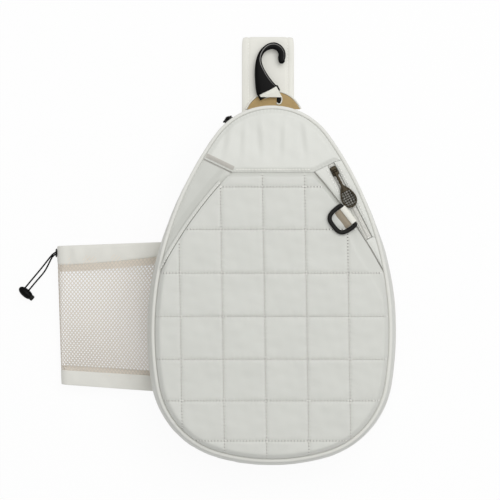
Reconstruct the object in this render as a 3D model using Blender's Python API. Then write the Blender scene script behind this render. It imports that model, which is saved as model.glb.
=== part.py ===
"""Racket backpack with a quilted front, lying on its back.

Metres, +Z up. The back rests on z = 0, +Y points to the bag's top and +X to its right,
as seen from the front. The origin is on the centre line, on the rest plane, level with
the widest line of the bag.
"""

import math

import bmesh
import bpy
import numpy as np
from mathutils import Matrix, Vector

# Clearances
CLEARANCE = 0.0003
SEAM_GAP = 0.0006
RUNNING_CLEARANCE = 0.0004

# Front seam outline, an egg of tangent arcs about the widest line
SEAM_HALF_WIDTH = 0.1404
SEAM_TOP = 0.2676
SEAM_BOTTOM = 0.1524
TOP_RADIUS = 0.080
CORNER_RADIUS = 0.100
BOTTOM_RADIUS = 0.232
TOP_STEPS = 6
SIDE_STEPS = 6
CORNER_STEPS = 6
BOTTOM_STEPS = 3
SAMPLE_MARGIN = 0.002

# Shells
GUSSET_BULGE = 0.0116
BULGE_TAPER = 0.0062
TAPER_LOW_Y = 0.030
TAPER_HIGH_Y = 0.200
GUSSET_WALL = 0.0024
PIPING_DIAMETER = 0.0048
PIPING_SIDES = 8
PIPING_PROUD = 0.0005
BACK_PANEL_THICKNESS = 0.004
FRONT_PANEL_THICKNESS = 0.003
COMPARTMENT_DEPTH = 0.0737
PAD_INSET = 0.012
PAD_ROUND = 0.003
SLEEVE_INSET = 0.022
SLEEVE_TOP = 0.090
SLEEVE_SPACE = 0.016
SLEEVE_WALL = 0.0012

# Main zip
ZIP_HALF_WIDTH = 0.0115
ZIP_COIL_HEIGHT = 0.0022
ZIP_COIL_WIDTH = 0.0024
ZIP_TAPE_THICKNESS = 0.0012
MAIN_SLIDER_ANGLE = math.radians(127.0)
MAIN_SLIDER_LENGTH = 0.013
MAIN_SLIDER_WIDTH = 0.009
MAIN_PULL_LENGTH = 0.024
MAIN_PULL_WIDTH = 0.013

# Shoulder strap
STRAP_WIDTH = 0.065
STRAP_CENTRE_X = -0.004
STRAP_THICKNESS = 0.0046
STRAP_LAYER_GAP = 0.0008
STRAP_RISE = 0.0969
STRAP_SEWN_DROP = 0.0316
STRAP_LOWER_Y = -0.060
CHANNEL_CLEARANCE = 0.004
WEBBING_WIDTH = 0.038
WEBBING_THICKNESS = 0.0018
WEBBING_Z = 0.0030
WEBBING_END_Y = -0.120
WING_END_Y = -0.136
WING_HALF_WIDTH = 0.029
WING_LIFT = 0.0004
STRAP_SLIDER_Y = -0.088
STRAP_SLIDER_LENGTH = 0.024
STRAP_SLIDER_BAR = 0.004
STRAP_SLIDER_RAIL = 0.004
STRAP_SLIDER_LIFT = 0.0005

# Hook, its tab and its loop
TAB_X = 0.003
TAB_DROP = 0.0083
TAB_RADIUS = 0.0357
TAB_THICKNESS = 0.003
TAB_GAP_BELOW = 0.001
TAB_ROOT_GAP = 0.0008
BINDING_WIDTH = 0.0016
HOOK_AXIS_X = -0.0024
HOOK_RISE = 0.0251
HOOK_TILT = math.radians(28.0)
HOOK_THICKNESS = 0.0056
HOOK_BAR_RADIUS = 0.0024
HOOK_EYE_RADIUS = 0.0034
HOOK_RAIL_WIDTH = 0.0032
HOOK_RAIL_SPACING = 0.0248
HOOK_RAIL_BITE = 0.003
HOOK_POINT_STEP = 0.0052
LOOP_WALL = 0.0016
LOOP_FOOT_WIDTH = 0.0075

# Points along the middle of the hook from its base to its tip, from its bar: x, y and half width
HOOK_SPINE = (
    (-0.0028, 0.0053, 0.0140),
    (-0.0050, 0.0094, 0.0127),
    (-0.0086, 0.0188, 0.0096),
    (-0.0115, 0.0293, 0.0066),
    (-0.0131, 0.0392, 0.0043),
    (-0.0100, 0.0511, 0.0040),
    (0.0036, 0.0594, 0.0044),
    (0.0157, 0.0495, 0.0046),
    (0.0141, 0.0403, 0.0038),
)

# Front panels
SLASH_TOP_LEFT = (-0.048, 0.192)
SLASH_TOP_RIGHT = (0.0500, 0.192)
SLASH_END_Y = 0.071
SLASH_SAG_LEFT = 0.0055
SLASH_SAG_RIGHT = 0.0045
SLASH_STEPS = 8
SLASH_PANEL_TOP_Y = 0.2083
SLASH_PANEL_THICKNESS = 0.0008
TOP_PANEL_THICKNESS = 0.0042
PLACKET_THICKNESS = 0.0037
PANEL_ROUND = 0.0012
POCKET_MOUTH = 0.0044
WELT_WIDTH = 0.005
WELT_THICKNESS = 0.003

# Quilted pocket
QUILT_PITCH_X = 0.0504
QUILT_PITCH_Y = 0.0507
QUILT_LINE_X = -0.0096
QUILT_LINE_Y = 0.1752
QUILT_STEPS = (0.0, 0.14, 0.5, 0.86)
QUILT_SKIN = 0.0028
QUILT_CROWN = 0.004
QUILT_EDGE_HEIGHT = 0.003
QUILT_EDGE_ROLL = 0.018
QUILT_RIM = 0.015

# Front zip pocket: the zip runs straight between two heights, each at its own distance from the seam
FRONT_ZIP_TOP_Y = 0.202
FRONT_ZIP_TOP_INSET = 0.0155
FRONT_ZIP_END_Y = 0.112
FRONT_ZIP_END_INSET = 0.0077
FRONT_TAPE_HALF_WIDTH = 0.0044
FRONT_TAPE_THICKNESS = 0.001
FRONT_COIL_WIDTH = 0.0034
FRONT_COIL_HEIGHT = 0.0017
FRONT_STOP_LENGTH = 0.003
FRONT_STRIP_SHARE = 0.82
FRONT_SLIDER_START = 0.010
FRONT_SLIDER_LENGTH = 0.012
FRONT_SLIDER_WIDTH = 0.0085

# Slider and pull hardware shared by both zips
SLIDER_BODY_HEIGHT = 0.0022
CHEEK_THICKNESS = 0.0012
CHEEK_REACH = 0.0015
PIN_RADIUS = 0.0009
KNUCKLE_RADIUS = 0.0019
KNUCKLE_HALF_WIDTH = 0.0018
PULL_THICKNESS = 0.0018
PULL_NECK_WIDTH = 0.0042
PULL_HEAD_WIDTH = 0.0185
PULL_HEAD_LENGTH = 0.030
PULL_LENGTH = 0.0485

# Key ring, placed by its share of the way down the right pocket edge
D_RING_SHARE = 0.4466
D_RING_INSET = 0.0007
D_RING_TURN = math.radians(2.4)
D_RING_WIDTH = 0.035
D_RING_DEPTH = 0.027
D_RING_WIRE = 0.0053
D_RING_SQUARENESS = 3.6
D_RING_POINTS = 26
D_TAB_WIDTH = 0.023
D_TAB_WALL = 0.0013
D_TAB_TAIL = 0.0024

# Net pocket on the left side
POCKET_TOP_LEFT = (-0.2667, 0.1034)
POCKET_BOTTOM_LEFT = (-0.2611, -0.0684)
POCKET_TOP_RIGHT_Y = 0.1084
POCKET_BOTTOM_RIGHT_Y = -0.0772
POCKET_LIFT = 0.0004
POCKET_DEPTH = 0.020
POCKET_CLOTH = 0.001
POCKET_TUNNEL = 0.0034
POCKET_HEM_SHARE = 0.115
POCKET_BASE_SHARE = 0.105
POCKET_STATIONS = 6
POCKET_ROUND_STEPS = 8
POCKET_FOLD_GAP = math.radians(8.0)
NET_COLUMNS = 11
NET_ROWS = 11
NET_HOLE_SHARE = 0.40

# Drawcord and its lock
CORD_DIAMETER = 0.002
CORD_SPACING = 0.0055
EYELET_Y = 0.0947
EYELET_RADIUS = 0.0055
EYELET_HOLE_RADIUS = 0.0029
EYELET_THICKNESS = 0.0014
LOCK_CENTRE = (-0.3062, 0.0447)
LOCK_HEADING = (0.64, 0.768)
LOCK_LENGTH = 0.021
LOCK_DEPTH = 0.0105
LOCK_LIFT = 0.0003
LOCK_BORE_RADIUS = 0.0014
LOCK_BORE_X = -0.0022
LOCK_BUTTON_RADIUS = 0.0034
LOCK_BUTTON_LENGTH = 0.006
LOCK_BORE_WALL = 0.0006
LOCK_SPRING_WALL = 0.0008
LOCK_SPRING_LENGTH = 0.0032
LOCK_STRAIGHT = 0.036
LOCK_TAIL = 0.0045
CORD_POINT_STEP = 0.004
CORD_BEND = (0.006, 0.003, 0.0012)
CORD_EXIT = 0.001
CORD_TUCK = 0.0007
HEM_CORD_TRIM = 0.02

# Levels worked out from the stack
PAD_THICKNESS = 2.0 * STRAP_THICKNESS + STRAP_LAYER_GAP
BACK_Z = PAD_THICKNESS + CLEARANCE
INSIDE_Z = BACK_Z + BACK_PANEL_THICKNESS
FRONT_Z = INSIDE_Z + COMPARTMENT_DEPTH
FACE_Z = FRONT_Z + FRONT_PANEL_THICKNESS
PIPING_RADIUS = 0.5 * PIPING_DIAMETER
BACK_PIPING_Z = BACK_Z + 0.5 * BACK_PANEL_THICKNESS
FRONT_PIPING_Z = FACE_Z + PIPING_PROUD
ZIP_Z = 0.5 * (BACK_PIPING_Z + FRONT_PIPING_Z)
LAYER_Z = FACE_Z + CLEARANCE
MOUTH_Z = LAYER_Z + SLASH_PANEL_THICKNESS + POCKET_MOUTH
CROWN_Z = MOUTH_Z + QUILT_SKIN + QUILT_CROWN
TAB_Z = PAD_THICKNESS + TAB_GAP_BELOW
STRAP_FOLD_Y = SEAM_TOP + STRAP_RISE
STRAP_SEWN_Y = SEAM_TOP - STRAP_SEWN_DROP
HOOK_AXIS_Y = SEAM_TOP + HOOK_RISE
LOOP_RADIUS = HOOK_BAR_RADIUS + RUNNING_CLEARANCE + LOOP_WALL
HOOK_AXIS_Z = TAB_Z + TAB_THICKNESS + CLEARANCE + LOOP_RADIUS
D_RING_Z = CROWN_Z + CLEARANCE + 0.5 * D_RING_WIRE
POCKET_MID_Z = POCKET_LIFT + 0.5 * POCKET_DEPTH
LOCK_Z = LOCK_LIFT + 0.5 * LOCK_DEPTH


def clear_scene():
    """Remove every object that is in the scene."""
    for item in list(bpy.data.objects):
        bpy.data.objects.remove(item, do_unlink=True)


def finish(name, colour, roughness, metallic=0.0):
    """Make a plain surface from its base colour, roughness and metal share."""
    surface = bpy.data.materials.new(name)
    surface.use_nodes = True
    shader = surface.node_tree.nodes["Principled BSDF"]
    shader.inputs["Base Color"].default_value = (*colour, 1.0)
    shader.inputs["Roughness"].default_value = roughness
    shader.inputs["Metallic"].default_value = metallic
    return surface


class Palette:
    """The colours of the bag's cloth, webbing, plastic and metal, as linear values."""

    CREAM = (0.62, 0.62, 0.58)
    SATIN = (0.68, 0.69, 0.65)
    NET = (0.63, 0.61, 0.56)
    WEBBING = (0.78, 0.78, 0.71)
    TAN = (0.43, 0.31, 0.16)
    BLACK = (0.010, 0.010, 0.010)
    DARK = (0.03, 0.03, 0.03)
    GUNMETAL = (0.15, 0.14, 0.11)


def add_object(name, mesh, colour, roughness=0.6, metallic=0.0):
    """Put a mesh into the scene under its sub-part's name with its own finish."""
    mesh.materials.append(finish(name, colour, roughness, metallic))
    item = bpy.data.objects.new(name, mesh)
    bpy.context.scene.collection.objects.link(item)
    return item


def mesh_of(bm, name, smooth=True):
    """Turn a bmesh into a closed mesh whose faces point out."""
    bmesh.ops.recalc_face_normals(bm, faces=bm.faces)
    mesh = bpy.data.meshes.new(name)
    bm.to_mesh(mesh)
    bm.free()
    if smooth:
        mesh.shade_smooth()
        mesh.set_sharp_from_angle(angle=math.radians(35.0))
    return mesh


def loft(name, loops, closed=False, caps=True):
    """Skin a list of equal point loops, joining the last to the first if closed."""
    bm = bmesh.new()
    rings = [[bm.verts.new(p) for p in loop] for loop in loops]
    pairs = list(zip(rings, rings[1:]))
    if closed:
        pairs.append((rings[-1], rings[0]))
    for ring, following in pairs:
        count = len(ring)
        for i in range(count):
            j = (i + 1) % count
            bm.faces.new((ring[i], ring[j], following[j], following[i]))
    if caps and not closed:
        bm.faces.new(rings[0][::-1])
        bm.faces.new(rings[-1])
    return mesh_of(bm, name)


def prism_mesh(name, points, low, high):
    """Extrude a flat outline between two heights."""
    return loft(name, [[(x, y, z) for x, y in points] for z in (low, high)])


def box_mesh(name, low, high):
    """Make a box from its two corners."""
    (x0, y0, z0), (x1, y1, z1) = low, high
    outline = [(x0, y0), (x1, y0), (x1, y1), (x0, y1)]
    return prism_mesh(name, outline, z0, z1)


def rod_mesh(name, radius, low, high, sides=16):
    """Make a round rod along the local X axis."""
    turns = [2.0 * math.pi * k / sides for k in range(sides)]
    ring = [(radius * math.cos(a), radius * math.sin(a)) for a in turns]
    return loft(name, [[(x, y, z) for y, z in ring] for x in (low, high)])


def helper(mesh, like):
    """Make a hidden cutting shape, placed as the piece that it works on."""
    item = bpy.data.objects.new(mesh.name, mesh)
    bpy.context.scene.collection.objects.link(item)
    item.hide_render = True
    item.display_type = "WIRE"
    item.matrix_world = like.matrix_world
    return item


def combine(item, mesh, operation):
    """Add a boolean of a mesh given in the piece's own frame."""
    tool = helper(mesh, item)
    step = item.modifiers.new(mesh.name, "BOOLEAN")
    step.operation = operation
    step.solver = "EXACT"
    step.object = tool


def frame_matrix(origin, x_axis, y_axis):
    """Build the placing matrix of a local frame from its origin and two axes."""
    x_axis = Vector(x_axis).normalized()
    y_axis = Vector(y_axis).normalized()
    z_axis = x_axis.cross(y_axis)
    turn = Matrix((x_axis, y_axis, z_axis)).transposed().to_4x4()
    return Matrix.Translation(Vector(origin)) @ turn


def ride(items, carrier):
    """Parent pieces to their carrier and keep them where they are."""
    bpy.context.view_layer.update()
    for item in items:
        item.parent = carrier
        item.matrix_parent_inverse = carrier.matrix_world.inverted()


def pivot(name, location):
    """Add an empty on a joint's axis."""
    item = bpy.data.objects.new(name, None)
    item.location = location
    bpy.context.scene.collection.objects.link(item)
    return item


class Egg:
    """The bag's outline: four arcs down its right side, mirrored to the left."""

    def __init__(self):
        self.top = Vector((0.0, SEAM_TOP - TOP_RADIUS))
        rise = self.top.y
        self.side_radius = (SEAM_HALF_WIDTH**2 + rise**2 - TOP_RADIUS**2) / (
            2.0 * (SEAM_HALF_WIDTH - TOP_RADIUS)
        )
        side = Vector((SEAM_HALF_WIDTH - self.side_radius, 0.0))
        bottom = Vector((0.0, BOTTOM_RADIUS - SEAM_BOTTOM))
        corner = self.meeting(
            side, self.side_radius - CORNER_RADIUS, bottom, BOTTOM_RADIUS - CORNER_RADIUS
        )
        first = self.heading(self.top - side)
        second = self.heading(corner - side)
        third = self.heading(corner - bottom)
        quarter = 0.5 * math.pi
        self.arcs = (
            (bottom, BOTTOM_RADIUS, -quarter, third, BOTTOM_STEPS),
            (corner, CORNER_RADIUS, third, second, CORNER_STEPS),
            (side, self.side_radius, second, first, SIDE_STEPS),
            (self.top, TOP_RADIUS, first, quarter, TOP_STEPS),
        )
        right = [self.at(self.arcs[0], -quarter)]
        for arc in self.arcs:
            start, end, steps = arc[2:]
            turns = [start + (end - start) * k / steps for k in range(1, steps + 1)]
            right.extend(self.at(arc, a) for a in turns)
        left = [(Vector((-p.x, p.y)), Vector((-n.x, n.y))) for p, n in right[-2:0:-1]]
        self.samples = right + left

    @staticmethod
    def heading(v):
        """Angle of a flat vector."""
        return math.atan2(v.y, v.x)

    @staticmethod
    def at(arc, angle):
        """Point and outward direction on an arc."""
        way = Vector((math.cos(angle), math.sin(angle)))
        return arc[0] + arc[1] * way, way

    @staticmethod
    def meeting(a, ra, b, rb):
        """Lower right crossing of two circles."""
        gap = b - a
        along = (ra**2 - rb**2 + gap.length_squared) / (2.0 * gap.length)
        across = math.sqrt(ra**2 - along**2)
        way = gap.normalized()
        return a + along * way + across * Vector((way.y, -way.x))

    def loop(self, offset):
        """The whole outline, moved out by an offset, as flat points."""
        return [tuple(p + offset * n) for p, n in self.samples]

    def half_width(self, y, offset=0.0):
        """Half width of the offset outline at a height."""
        for centre, radius, start, end, _ in self.arcs:
            reach = radius + offset
            if y <= centre.y + reach * math.sin(end) or centre is self.top:
                return centre.x + math.sqrt(max(reach**2 - (y - centre.y) ** 2, 0.0))
        return 0.0

    def side(self, start, end, offset, sign):
        """Points of one side between two heights, in the order asked for."""
        low, high = sorted((start, end))
        flat = [p + offset * n for p, n in self.samples]
        low_end, high_end = low + SAMPLE_MARGIN, high - SAMPLE_MARGIN
        inner = sorted(p.y for p in flat if p.x > 0.0 and low_end < p.y < high_end)
        heights = [low, *inner, high]
        if start > end:
            heights.reverse()
        return [(sign * self.half_width(y, offset), y) for y in heights]


EGG = Egg()


def bulge_share(z):
    """Share of the side wall's bulge at a height: 1 at the zip and 0 at the seams."""
    half = 0.5 * (FRONT_PIPING_Z - BACK_PIPING_Z)
    return math.sin(0.5 * math.pi * max(0.0, 1.0 - abs(z - ZIP_Z) / half))


def wall_offset(z):
    """How far the side wall stands outside the seam at a height, on the bag's lower half."""
    return PIPING_DIAMETER + (GUSSET_BULGE - PIPING_DIAMETER) * bulge_share(z)


def wall_taper(y, z):
    """How much less the wall bulges towards the bag's top, where it is drawn flat."""
    rise = min(1.0, max(0.0, (y - TAPER_LOW_Y) / (TAPER_HIGH_Y - TAPER_LOW_Y)))
    return BULGE_TAPER * rise * rise * (3.0 - 2.0 * rise) * bulge_share(z)


def sweep(name, profile, first=0, last=None, trim=0.0):
    """Carry a closed (offset, z) wall profile round the egg, whole or between two samples."""
    count = len(EGG.samples)
    closed = last is None
    steps = range(count) if closed else range(first, last + 1)
    spots = [EGG.samples[k % count] for k in steps]
    if trim:
        spots[0] = trimmed(spots[0], spots[1], trim)
        spots[-1] = trimmed(spots[-1], spots[-2], trim)
    loops = [[(*(p + (o - wall_taper(p.y, z)) * n), z) for o, z in profile] for p, n in spots]
    return loft(name, loops, closed=closed)


def trimmed(spot, following, distance):
    """Move an end sample a little towards the next one."""
    share = distance / (following[0] - spot[0]).length
    return spot[0].lerp(following[0], share), spot[1].lerp(following[1], share).normalized()


def inset(points, distance):
    """Shrink a counter-clockwise outline by a distance, with mitred corners."""
    flat = [Vector(p) for p in points]
    result = []
    for k, here in enumerate(flat):
        before = (here - flat[k - 1]).normalized()
        after = (flat[(k + 1) % len(flat)] - here).normalized()
        first = Vector((-before.y, before.x))
        second = Vector((-after.y, after.x))
        mitre = first + second
        result.append(tuple(here + distance * mitre / max(mitre.dot(first), 0.35)))
    return result


def clipped(points, start, end, shift):
    """Keep the part of an outline left of a line that is moved left by a shift."""
    way = (Vector(end) - Vector(start)).normalized()
    left = Vector((-way.y, way.x))
    depth = [(Vector(p) - Vector(start)).dot(left) - shift for p in points]
    kept = []
    for k, here in enumerate(points):
        following = (k + 1) % len(points)
        if depth[k] >= 0.0:
            kept.append(here)
        if depth[k] * depth[following] < 0.0:
            share = depth[k] / (depth[k] - depth[following])
            kept.append(tuple(Vector(here).lerp(Vector(points[following]), share)))
    return kept


def soft_plate(name, points, low, high, rounding):
    """Extrude an outline with its upper edge rolled in by one chamfer."""
    loops = [[(x, y, z) for x, y in points] for z in (low, high - rounding)]
    loops.append([(x, y, high) for x, y in inset(points, rounding)])
    return loft(name, loops)


def chord_run(points):
    """Distance along a row of points, from the first one."""
    lengths = np.linalg.norm(np.diff(points, axis=0), axis=1)
    return np.concatenate([[0.0], np.cumsum(lengths)])


def smooth_path(points, step):
    """Even points along a smooth curve through hand-placed points."""
    given = np.array(points, dtype=float)
    run = chord_run(given)
    lengths = np.diff(run)
    shorter = np.minimum(np.append(lengths, lengths[-1]), np.insert(lengths, 0, lengths[0]))
    pull = np.gradient(given, run, axis=0) * shorter[:, None]
    marks = np.linspace(0.0, run[-1], 32 * len(given))
    k = np.clip(np.searchsorted(run, marks, "right") - 1, 0, len(given) - 2)
    t = ((marks - run[k]) / lengths[k])[:, None]
    curve = given[k] * (1.0 + 2.0 * t) * (1.0 - t) ** 2
    curve += pull[k] * t * (1.0 - t) ** 2
    curve += given[k + 1] * t**2 * (3.0 - 2.0 * t)
    curve += pull[k + 1] * t**2 * (t - 1.0)
    run = chord_run(curve)
    count = max(2, round(run[-1] / step))
    marks = np.linspace(0.0, run[-1], count + 1)
    return np.column_stack([np.interp(marks, run, column) for column in curve.T])


def tube(name, points, diameter, colour, cyclic=False, resolution=2, roughness=0.5):
    """Make a round tube along a row of points."""
    data = bpy.data.curves.new(name, "CURVE")
    data.dimensions = "3D"
    data.bevel_depth = 0.5 * diameter
    data.bevel_resolution = resolution
    data.use_fill_caps = True
    line = data.splines.new("POLY")
    line.points.add(len(points) - 1)
    for spot, place in zip(line.points, points):
        spot.co = (*place, 1.0)
    line.use_cyclic_u = cyclic
    line.use_smooth = True
    data.materials.append(finish(name, colour, roughness))
    item = bpy.data.objects.new(name, data)
    bpy.context.scene.collection.objects.link(item)
    return item


def piping(name, z):
    """A corded seam that runs round the bag just outside the seam line."""
    turns = [2.0 * math.pi * (k + 0.5) / PIPING_SIDES for k in range(PIPING_SIDES)]
    profile = [
        (PIPING_RADIUS + CLEARANCE + PIPING_RADIUS * math.cos(a), z + PIPING_RADIUS * math.sin(a))
        for a in turns
    ]
    loops = [[(*(p + o * n), z) for o, z in profile] for p, n in EGG.samples]
    return add_object(name, loft(name, loops, closed=True), Palette.WEBBING, 0.5)


def gusset(name, start, end):
    """Half of the side wall, from a seam level to the edge of the zip."""
    heights = [start + (end - start) * k / 3 for k in range(4)]
    outer = [(wall_offset(z), z) for z in heights]
    inner = [(o - GUSSET_WALL, z) for o, z in reversed(outer)]
    return add_object(name, sweep(name, outer + inner), Palette.CREAM, 0.55)


def band(outer, thickness, low, high):
    """Profile of a flat band that stands on edge."""
    return [(outer - thickness, low), (outer, low), (outer, high), (outer - thickness, high)]


def zip_half(suffix, sign):
    """Tape and coil of one half of the main zip; they stop at the bottom hinge cloth."""
    last = len(EGG.samples) - BOTTOM_STEPS
    coil_near = ZIP_Z + sign * 0.5 * CLEARANCE
    coil_far = coil_near + sign * ZIP_COIL_HEIGHT
    tape_near = coil_far + sign * CLEARANCE
    tape_far = ZIP_Z + sign * (ZIP_HALF_WIDTH - CLEARANCE)
    tape_outer = GUSSET_BULGE - 0.5 * (ZIP_COIL_WIDTH - ZIP_TAPE_THICKNESS)
    tape = band(tape_outer, ZIP_TAPE_THICKNESS, *sorted((tape_near, tape_far)))
    coil = band(GUSSET_BULGE, ZIP_COIL_WIDTH, *sorted((coil_near, coil_far)))
    pieces = []
    for kind, profile in (("tape", tape), ("coil", coil)):
        name = f"main_zip_{kind}_{suffix}"
        mesh = sweep(name, profile, BOTTOM_STEPS, last)
        pieces.append(add_object(name, mesh, Palette.SATIN, 0.6))
    return pieces


def hinge_gusset():
    """Cloth that joins the two halves along the bottom arc."""
    outer = GUSSET_BULGE - 0.5 * (ZIP_COIL_WIDTH - ZIP_TAPE_THICKNESS)
    reach = ZIP_HALF_WIDTH - CLEARANCE
    profile = band(outer, ZIP_TAPE_THICKNESS, ZIP_Z - reach, ZIP_Z + reach)
    count = len(EGG.samples)
    mesh = sweep("hinge_gusset", profile, count - BOTTOM_STEPS, count + BOTTOM_STEPS, SEAM_GAP)
    return add_object("hinge_gusset", mesh, Palette.CREAM, 0.6)


def back_pads():
    """Two pads beside the channel that the folded strap lies in."""
    half_channel = 0.5 * STRAP_WIDTH + CHANNEL_CLEARANCE
    outline = EGG.loop(-PAD_INSET)
    left_edge = STRAP_CENTRE_X - half_channel
    right_edge = STRAP_CENTRE_X + half_channel
    cuts = {
        "back_pad_left": ((left_edge, 0.0), (left_edge, 1.0)),
        "back_pad_right": ((right_edge, 1.0), (right_edge, 0.0)),
    }
    for name, (start, end) in cuts.items():
        points = clipped(outline, start, end, 0.0)
        small = inset(points, PAD_ROUND)
        levels = (
            (small, 0.0), (points, PAD_ROUND), (points, PAD_THICKNESS - PAD_ROUND),
            (small, PAD_THICKNESS),
        )
        loops = [[(x, y, z) for x, y in ring] for ring, z in levels]
        add_object(name, loft(name, loops), Palette.NET, 0.8)


def racket_sleeve():
    """Flat inner pocket on the back panel, open towards the bag's top."""
    floor = INSIDE_Z + CLEARANCE
    roof = floor + SLEEVE_SPACE
    edge = (Vector((1.0, SLEEVE_TOP)), Vector((-1.0, SLEEVE_TOP)))
    outer = clipped(EGG.loop(-SLEEVE_INSET), *edge, 0.0)
    mesh = prism_mesh("racket_sleeve", outer, floor, roof + SLEEVE_WALL)
    sleeve = add_object("racket_sleeve", mesh, Palette.SATIN, 0.7)
    inner = clipped(EGG.loop(-SLEEVE_INSET - SLEEVE_WALL), *edge, -SLEEVE_WALL)
    combine(sleeve, prism_mesh("sleeve_space", inner, floor - SLEEVE_WALL, roof), "DIFFERENCE")


def back_shell():
    """Everything that stays down when the front opens, apart from straps and pocket."""
    panel = prism_mesh("back_panel", EGG.loop(0.0), BACK_Z, INSIDE_Z)
    add_object("back_panel", panel, Palette.CREAM, 0.6)
    back_pads()
    piping("back_piping", BACK_PIPING_Z)
    start = BACK_PIPING_Z + PIPING_RADIUS + CLEARANCE
    gusset("back_gusset", start, ZIP_Z - ZIP_HALF_WIDTH)
    zip_half("back", -1.0)
    hinge_gusset()
    racket_sleeve()


def shoulder_strap():
    """Wide padded strap: a lower run in the channel, a fold at the top and a sewn upper run."""
    half = 0.5 * PAD_THICKNESS
    inner = 0.5 * STRAP_LAYER_GAP
    centre = STRAP_FOLD_Y - half
    outer_turn = [math.pi * (k / 8 - 0.5) for k in range(9)]
    inner_turn = [math.pi * (0.5 - k / 4) for k in range(5)]
    profile = [(STRAP_LOWER_Y, 0.0)]
    profile += [(centre + half * math.cos(a), half + half * math.sin(a)) for a in outer_turn]
    profile += [(STRAP_SEWN_Y, PAD_THICKNESS), (STRAP_SEWN_Y, half + inner)]
    profile += [(centre + inner * math.cos(a), half + inner * math.sin(a)) for a in inner_turn]
    profile += [(STRAP_LOWER_Y, STRAP_THICKNESS)]
    sides = (STRAP_CENTRE_X - 0.5 * STRAP_WIDTH, STRAP_CENTRE_X + 0.5 * STRAP_WIDTH)
    mesh = loft("shoulder_strap", [[(x, y, z) for y, z in profile] for x in sides])
    add_object("shoulder_strap", mesh, Palette.WEBBING, 0.5)


def strap_anchor():
    """Lower webbing of the strap, the padded wing it is sewn into, and its slider."""
    half = 0.5 * WEBBING_WIDTH
    top = WEBBING_Z + WEBBING_THICKNESS
    left, right = STRAP_CENTRE_X - half, STRAP_CENTRE_X + half
    start = STRAP_LOWER_Y - CLEARANCE
    mesh = box_mesh("strap_webbing", (left, WEBBING_END_Y, WEBBING_Z), (right, start, top))
    add_object("strap_webbing", mesh, Palette.WEBBING, 0.7)
    join = WEBBING_END_Y - CLEARANCE
    wing = [
        (STRAP_CENTRE_X - WING_HALF_WIDTH, WING_END_Y),
        (STRAP_CENTRE_X + WING_HALF_WIDTH, WING_END_Y),
        (right, join),
        (left, join),
    ]
    mesh = soft_plate("strap_wing", wing, WING_LIFT, PAD_THICKNESS, PANEL_ROUND)
    add_object("strap_wing", mesh, Palette.CREAM, 0.6)
    strap_slider(half, top)


def strap_slider(half, top):
    """Three-bar slider: two bars under the webbing and one over it."""
    reach = 0.5 * STRAP_SLIDER_LENGTH
    bar = STRAP_SLIDER_BAR
    side = half + RUNNING_CLEARANCE
    outer = side + STRAP_SLIDER_RAIL
    low = STRAP_SLIDER_LIFT - WEBBING_Z
    under = -CLEARANCE
    over = WEBBING_THICKNESS + CLEARANCE
    high = over + (under - low)
    rail = box_mesh("rail_right", (side, -reach, low), (outer, reach, high))
    slider = add_object("strap_slider", rail, Palette.BLACK, 0.4)
    slider.location = (STRAP_CENTRE_X, STRAP_SLIDER_Y, top - WEBBING_THICKNESS)
    bpy.context.view_layer.update()
    shapes = {
        "rail_left": ((-outer, -reach, low), (-side, reach, high)),
        "bar_low": ((-outer, -reach, low), (outer, bar - reach, under)),
        "bar_high": ((-outer, reach - bar, low), (outer, reach, under)),
        "bar_middle": ((-outer, -0.5 * bar, over), (outer, 0.5 * bar, high)),
    }
    for name, corners in shapes.items():
        combine(slider, box_mesh(name, *corners), "UNION")


def hook_tab():
    """Tan half-moon tab on the top of the back, with a cream edge."""
    root = SEAM_TOP + wall_offset(TAB_Z + TAB_THICKNESS) + TAB_ROOT_GAP
    cx, cy = TAB_X, SEAM_TOP - TAB_DROP
    start = math.asin((root - cy) / TAB_RADIUS)
    turns = [start + (math.pi - 2.0 * start) * k / 14 for k in range(15)]
    ways = [(math.cos(a), math.sin(a)) for a in turns]
    outline = [(cx + TAB_RADIUS * c, cy + TAB_RADIUS * s) for c, s in ways]
    high = TAB_Z + TAB_THICKNESS
    add_object("hook_tab", prism_mesh("hook_tab", outline, TAB_Z, high), Palette.TAN, 0.7)
    radii = (TAB_RADIUS + CLEARANCE, TAB_RADIUS + CLEARANCE + BINDING_WIDTH)
    corners = [(radii[0], TAB_Z), (radii[1], TAB_Z), (radii[1], high), (radii[0], high)]
    loops = [[(cx + r * c, cy + r * s, z) for r, z in corners] for c, s in ways]
    add_object("hook_tab_binding", loft("hook_tab_binding", loops), Palette.WEBBING, 0.6)


def hook_matrix():
    """Place of the hook's bar: local X along the bar, which lies askew on the tab."""
    way = (math.cos(HOOK_TILT), math.sin(HOOK_TILT), 0.0)
    return frame_matrix((HOOK_AXIS_X, HOOK_AXIS_Y, HOOK_AXIS_Z), way, (-way[1], way[0], 0.0))


def hook_loop():
    """Webbing sleeve round the hook's bar, with a foot sewn on the tab."""
    half = 0.5 * HOOK_RAIL_SPACING - 0.5 * HOOK_RAIL_WIDTH - RUNNING_CLEARANCE
    loop = add_object("hook_loop", rod_mesh("sleeve", LOOP_RADIUS, -half, half, 20), Palette.WEBBING)
    loop.matrix_world = hook_matrix()
    bpy.context.view_layer.update()
    corners = ((-half, -LOOP_FOOT_WIDTH, -LOOP_RADIUS), (half, 0.0, 0.0))
    combine(loop, box_mesh("loop_foot", *corners), "UNION")
    hole = HOOK_BAR_RADIUS + RUNNING_CLEARANCE
    combine(loop, rod_mesh("loop_hole", hole, -2.0 * half, 2.0 * half), "DIFFERENCE")


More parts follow.
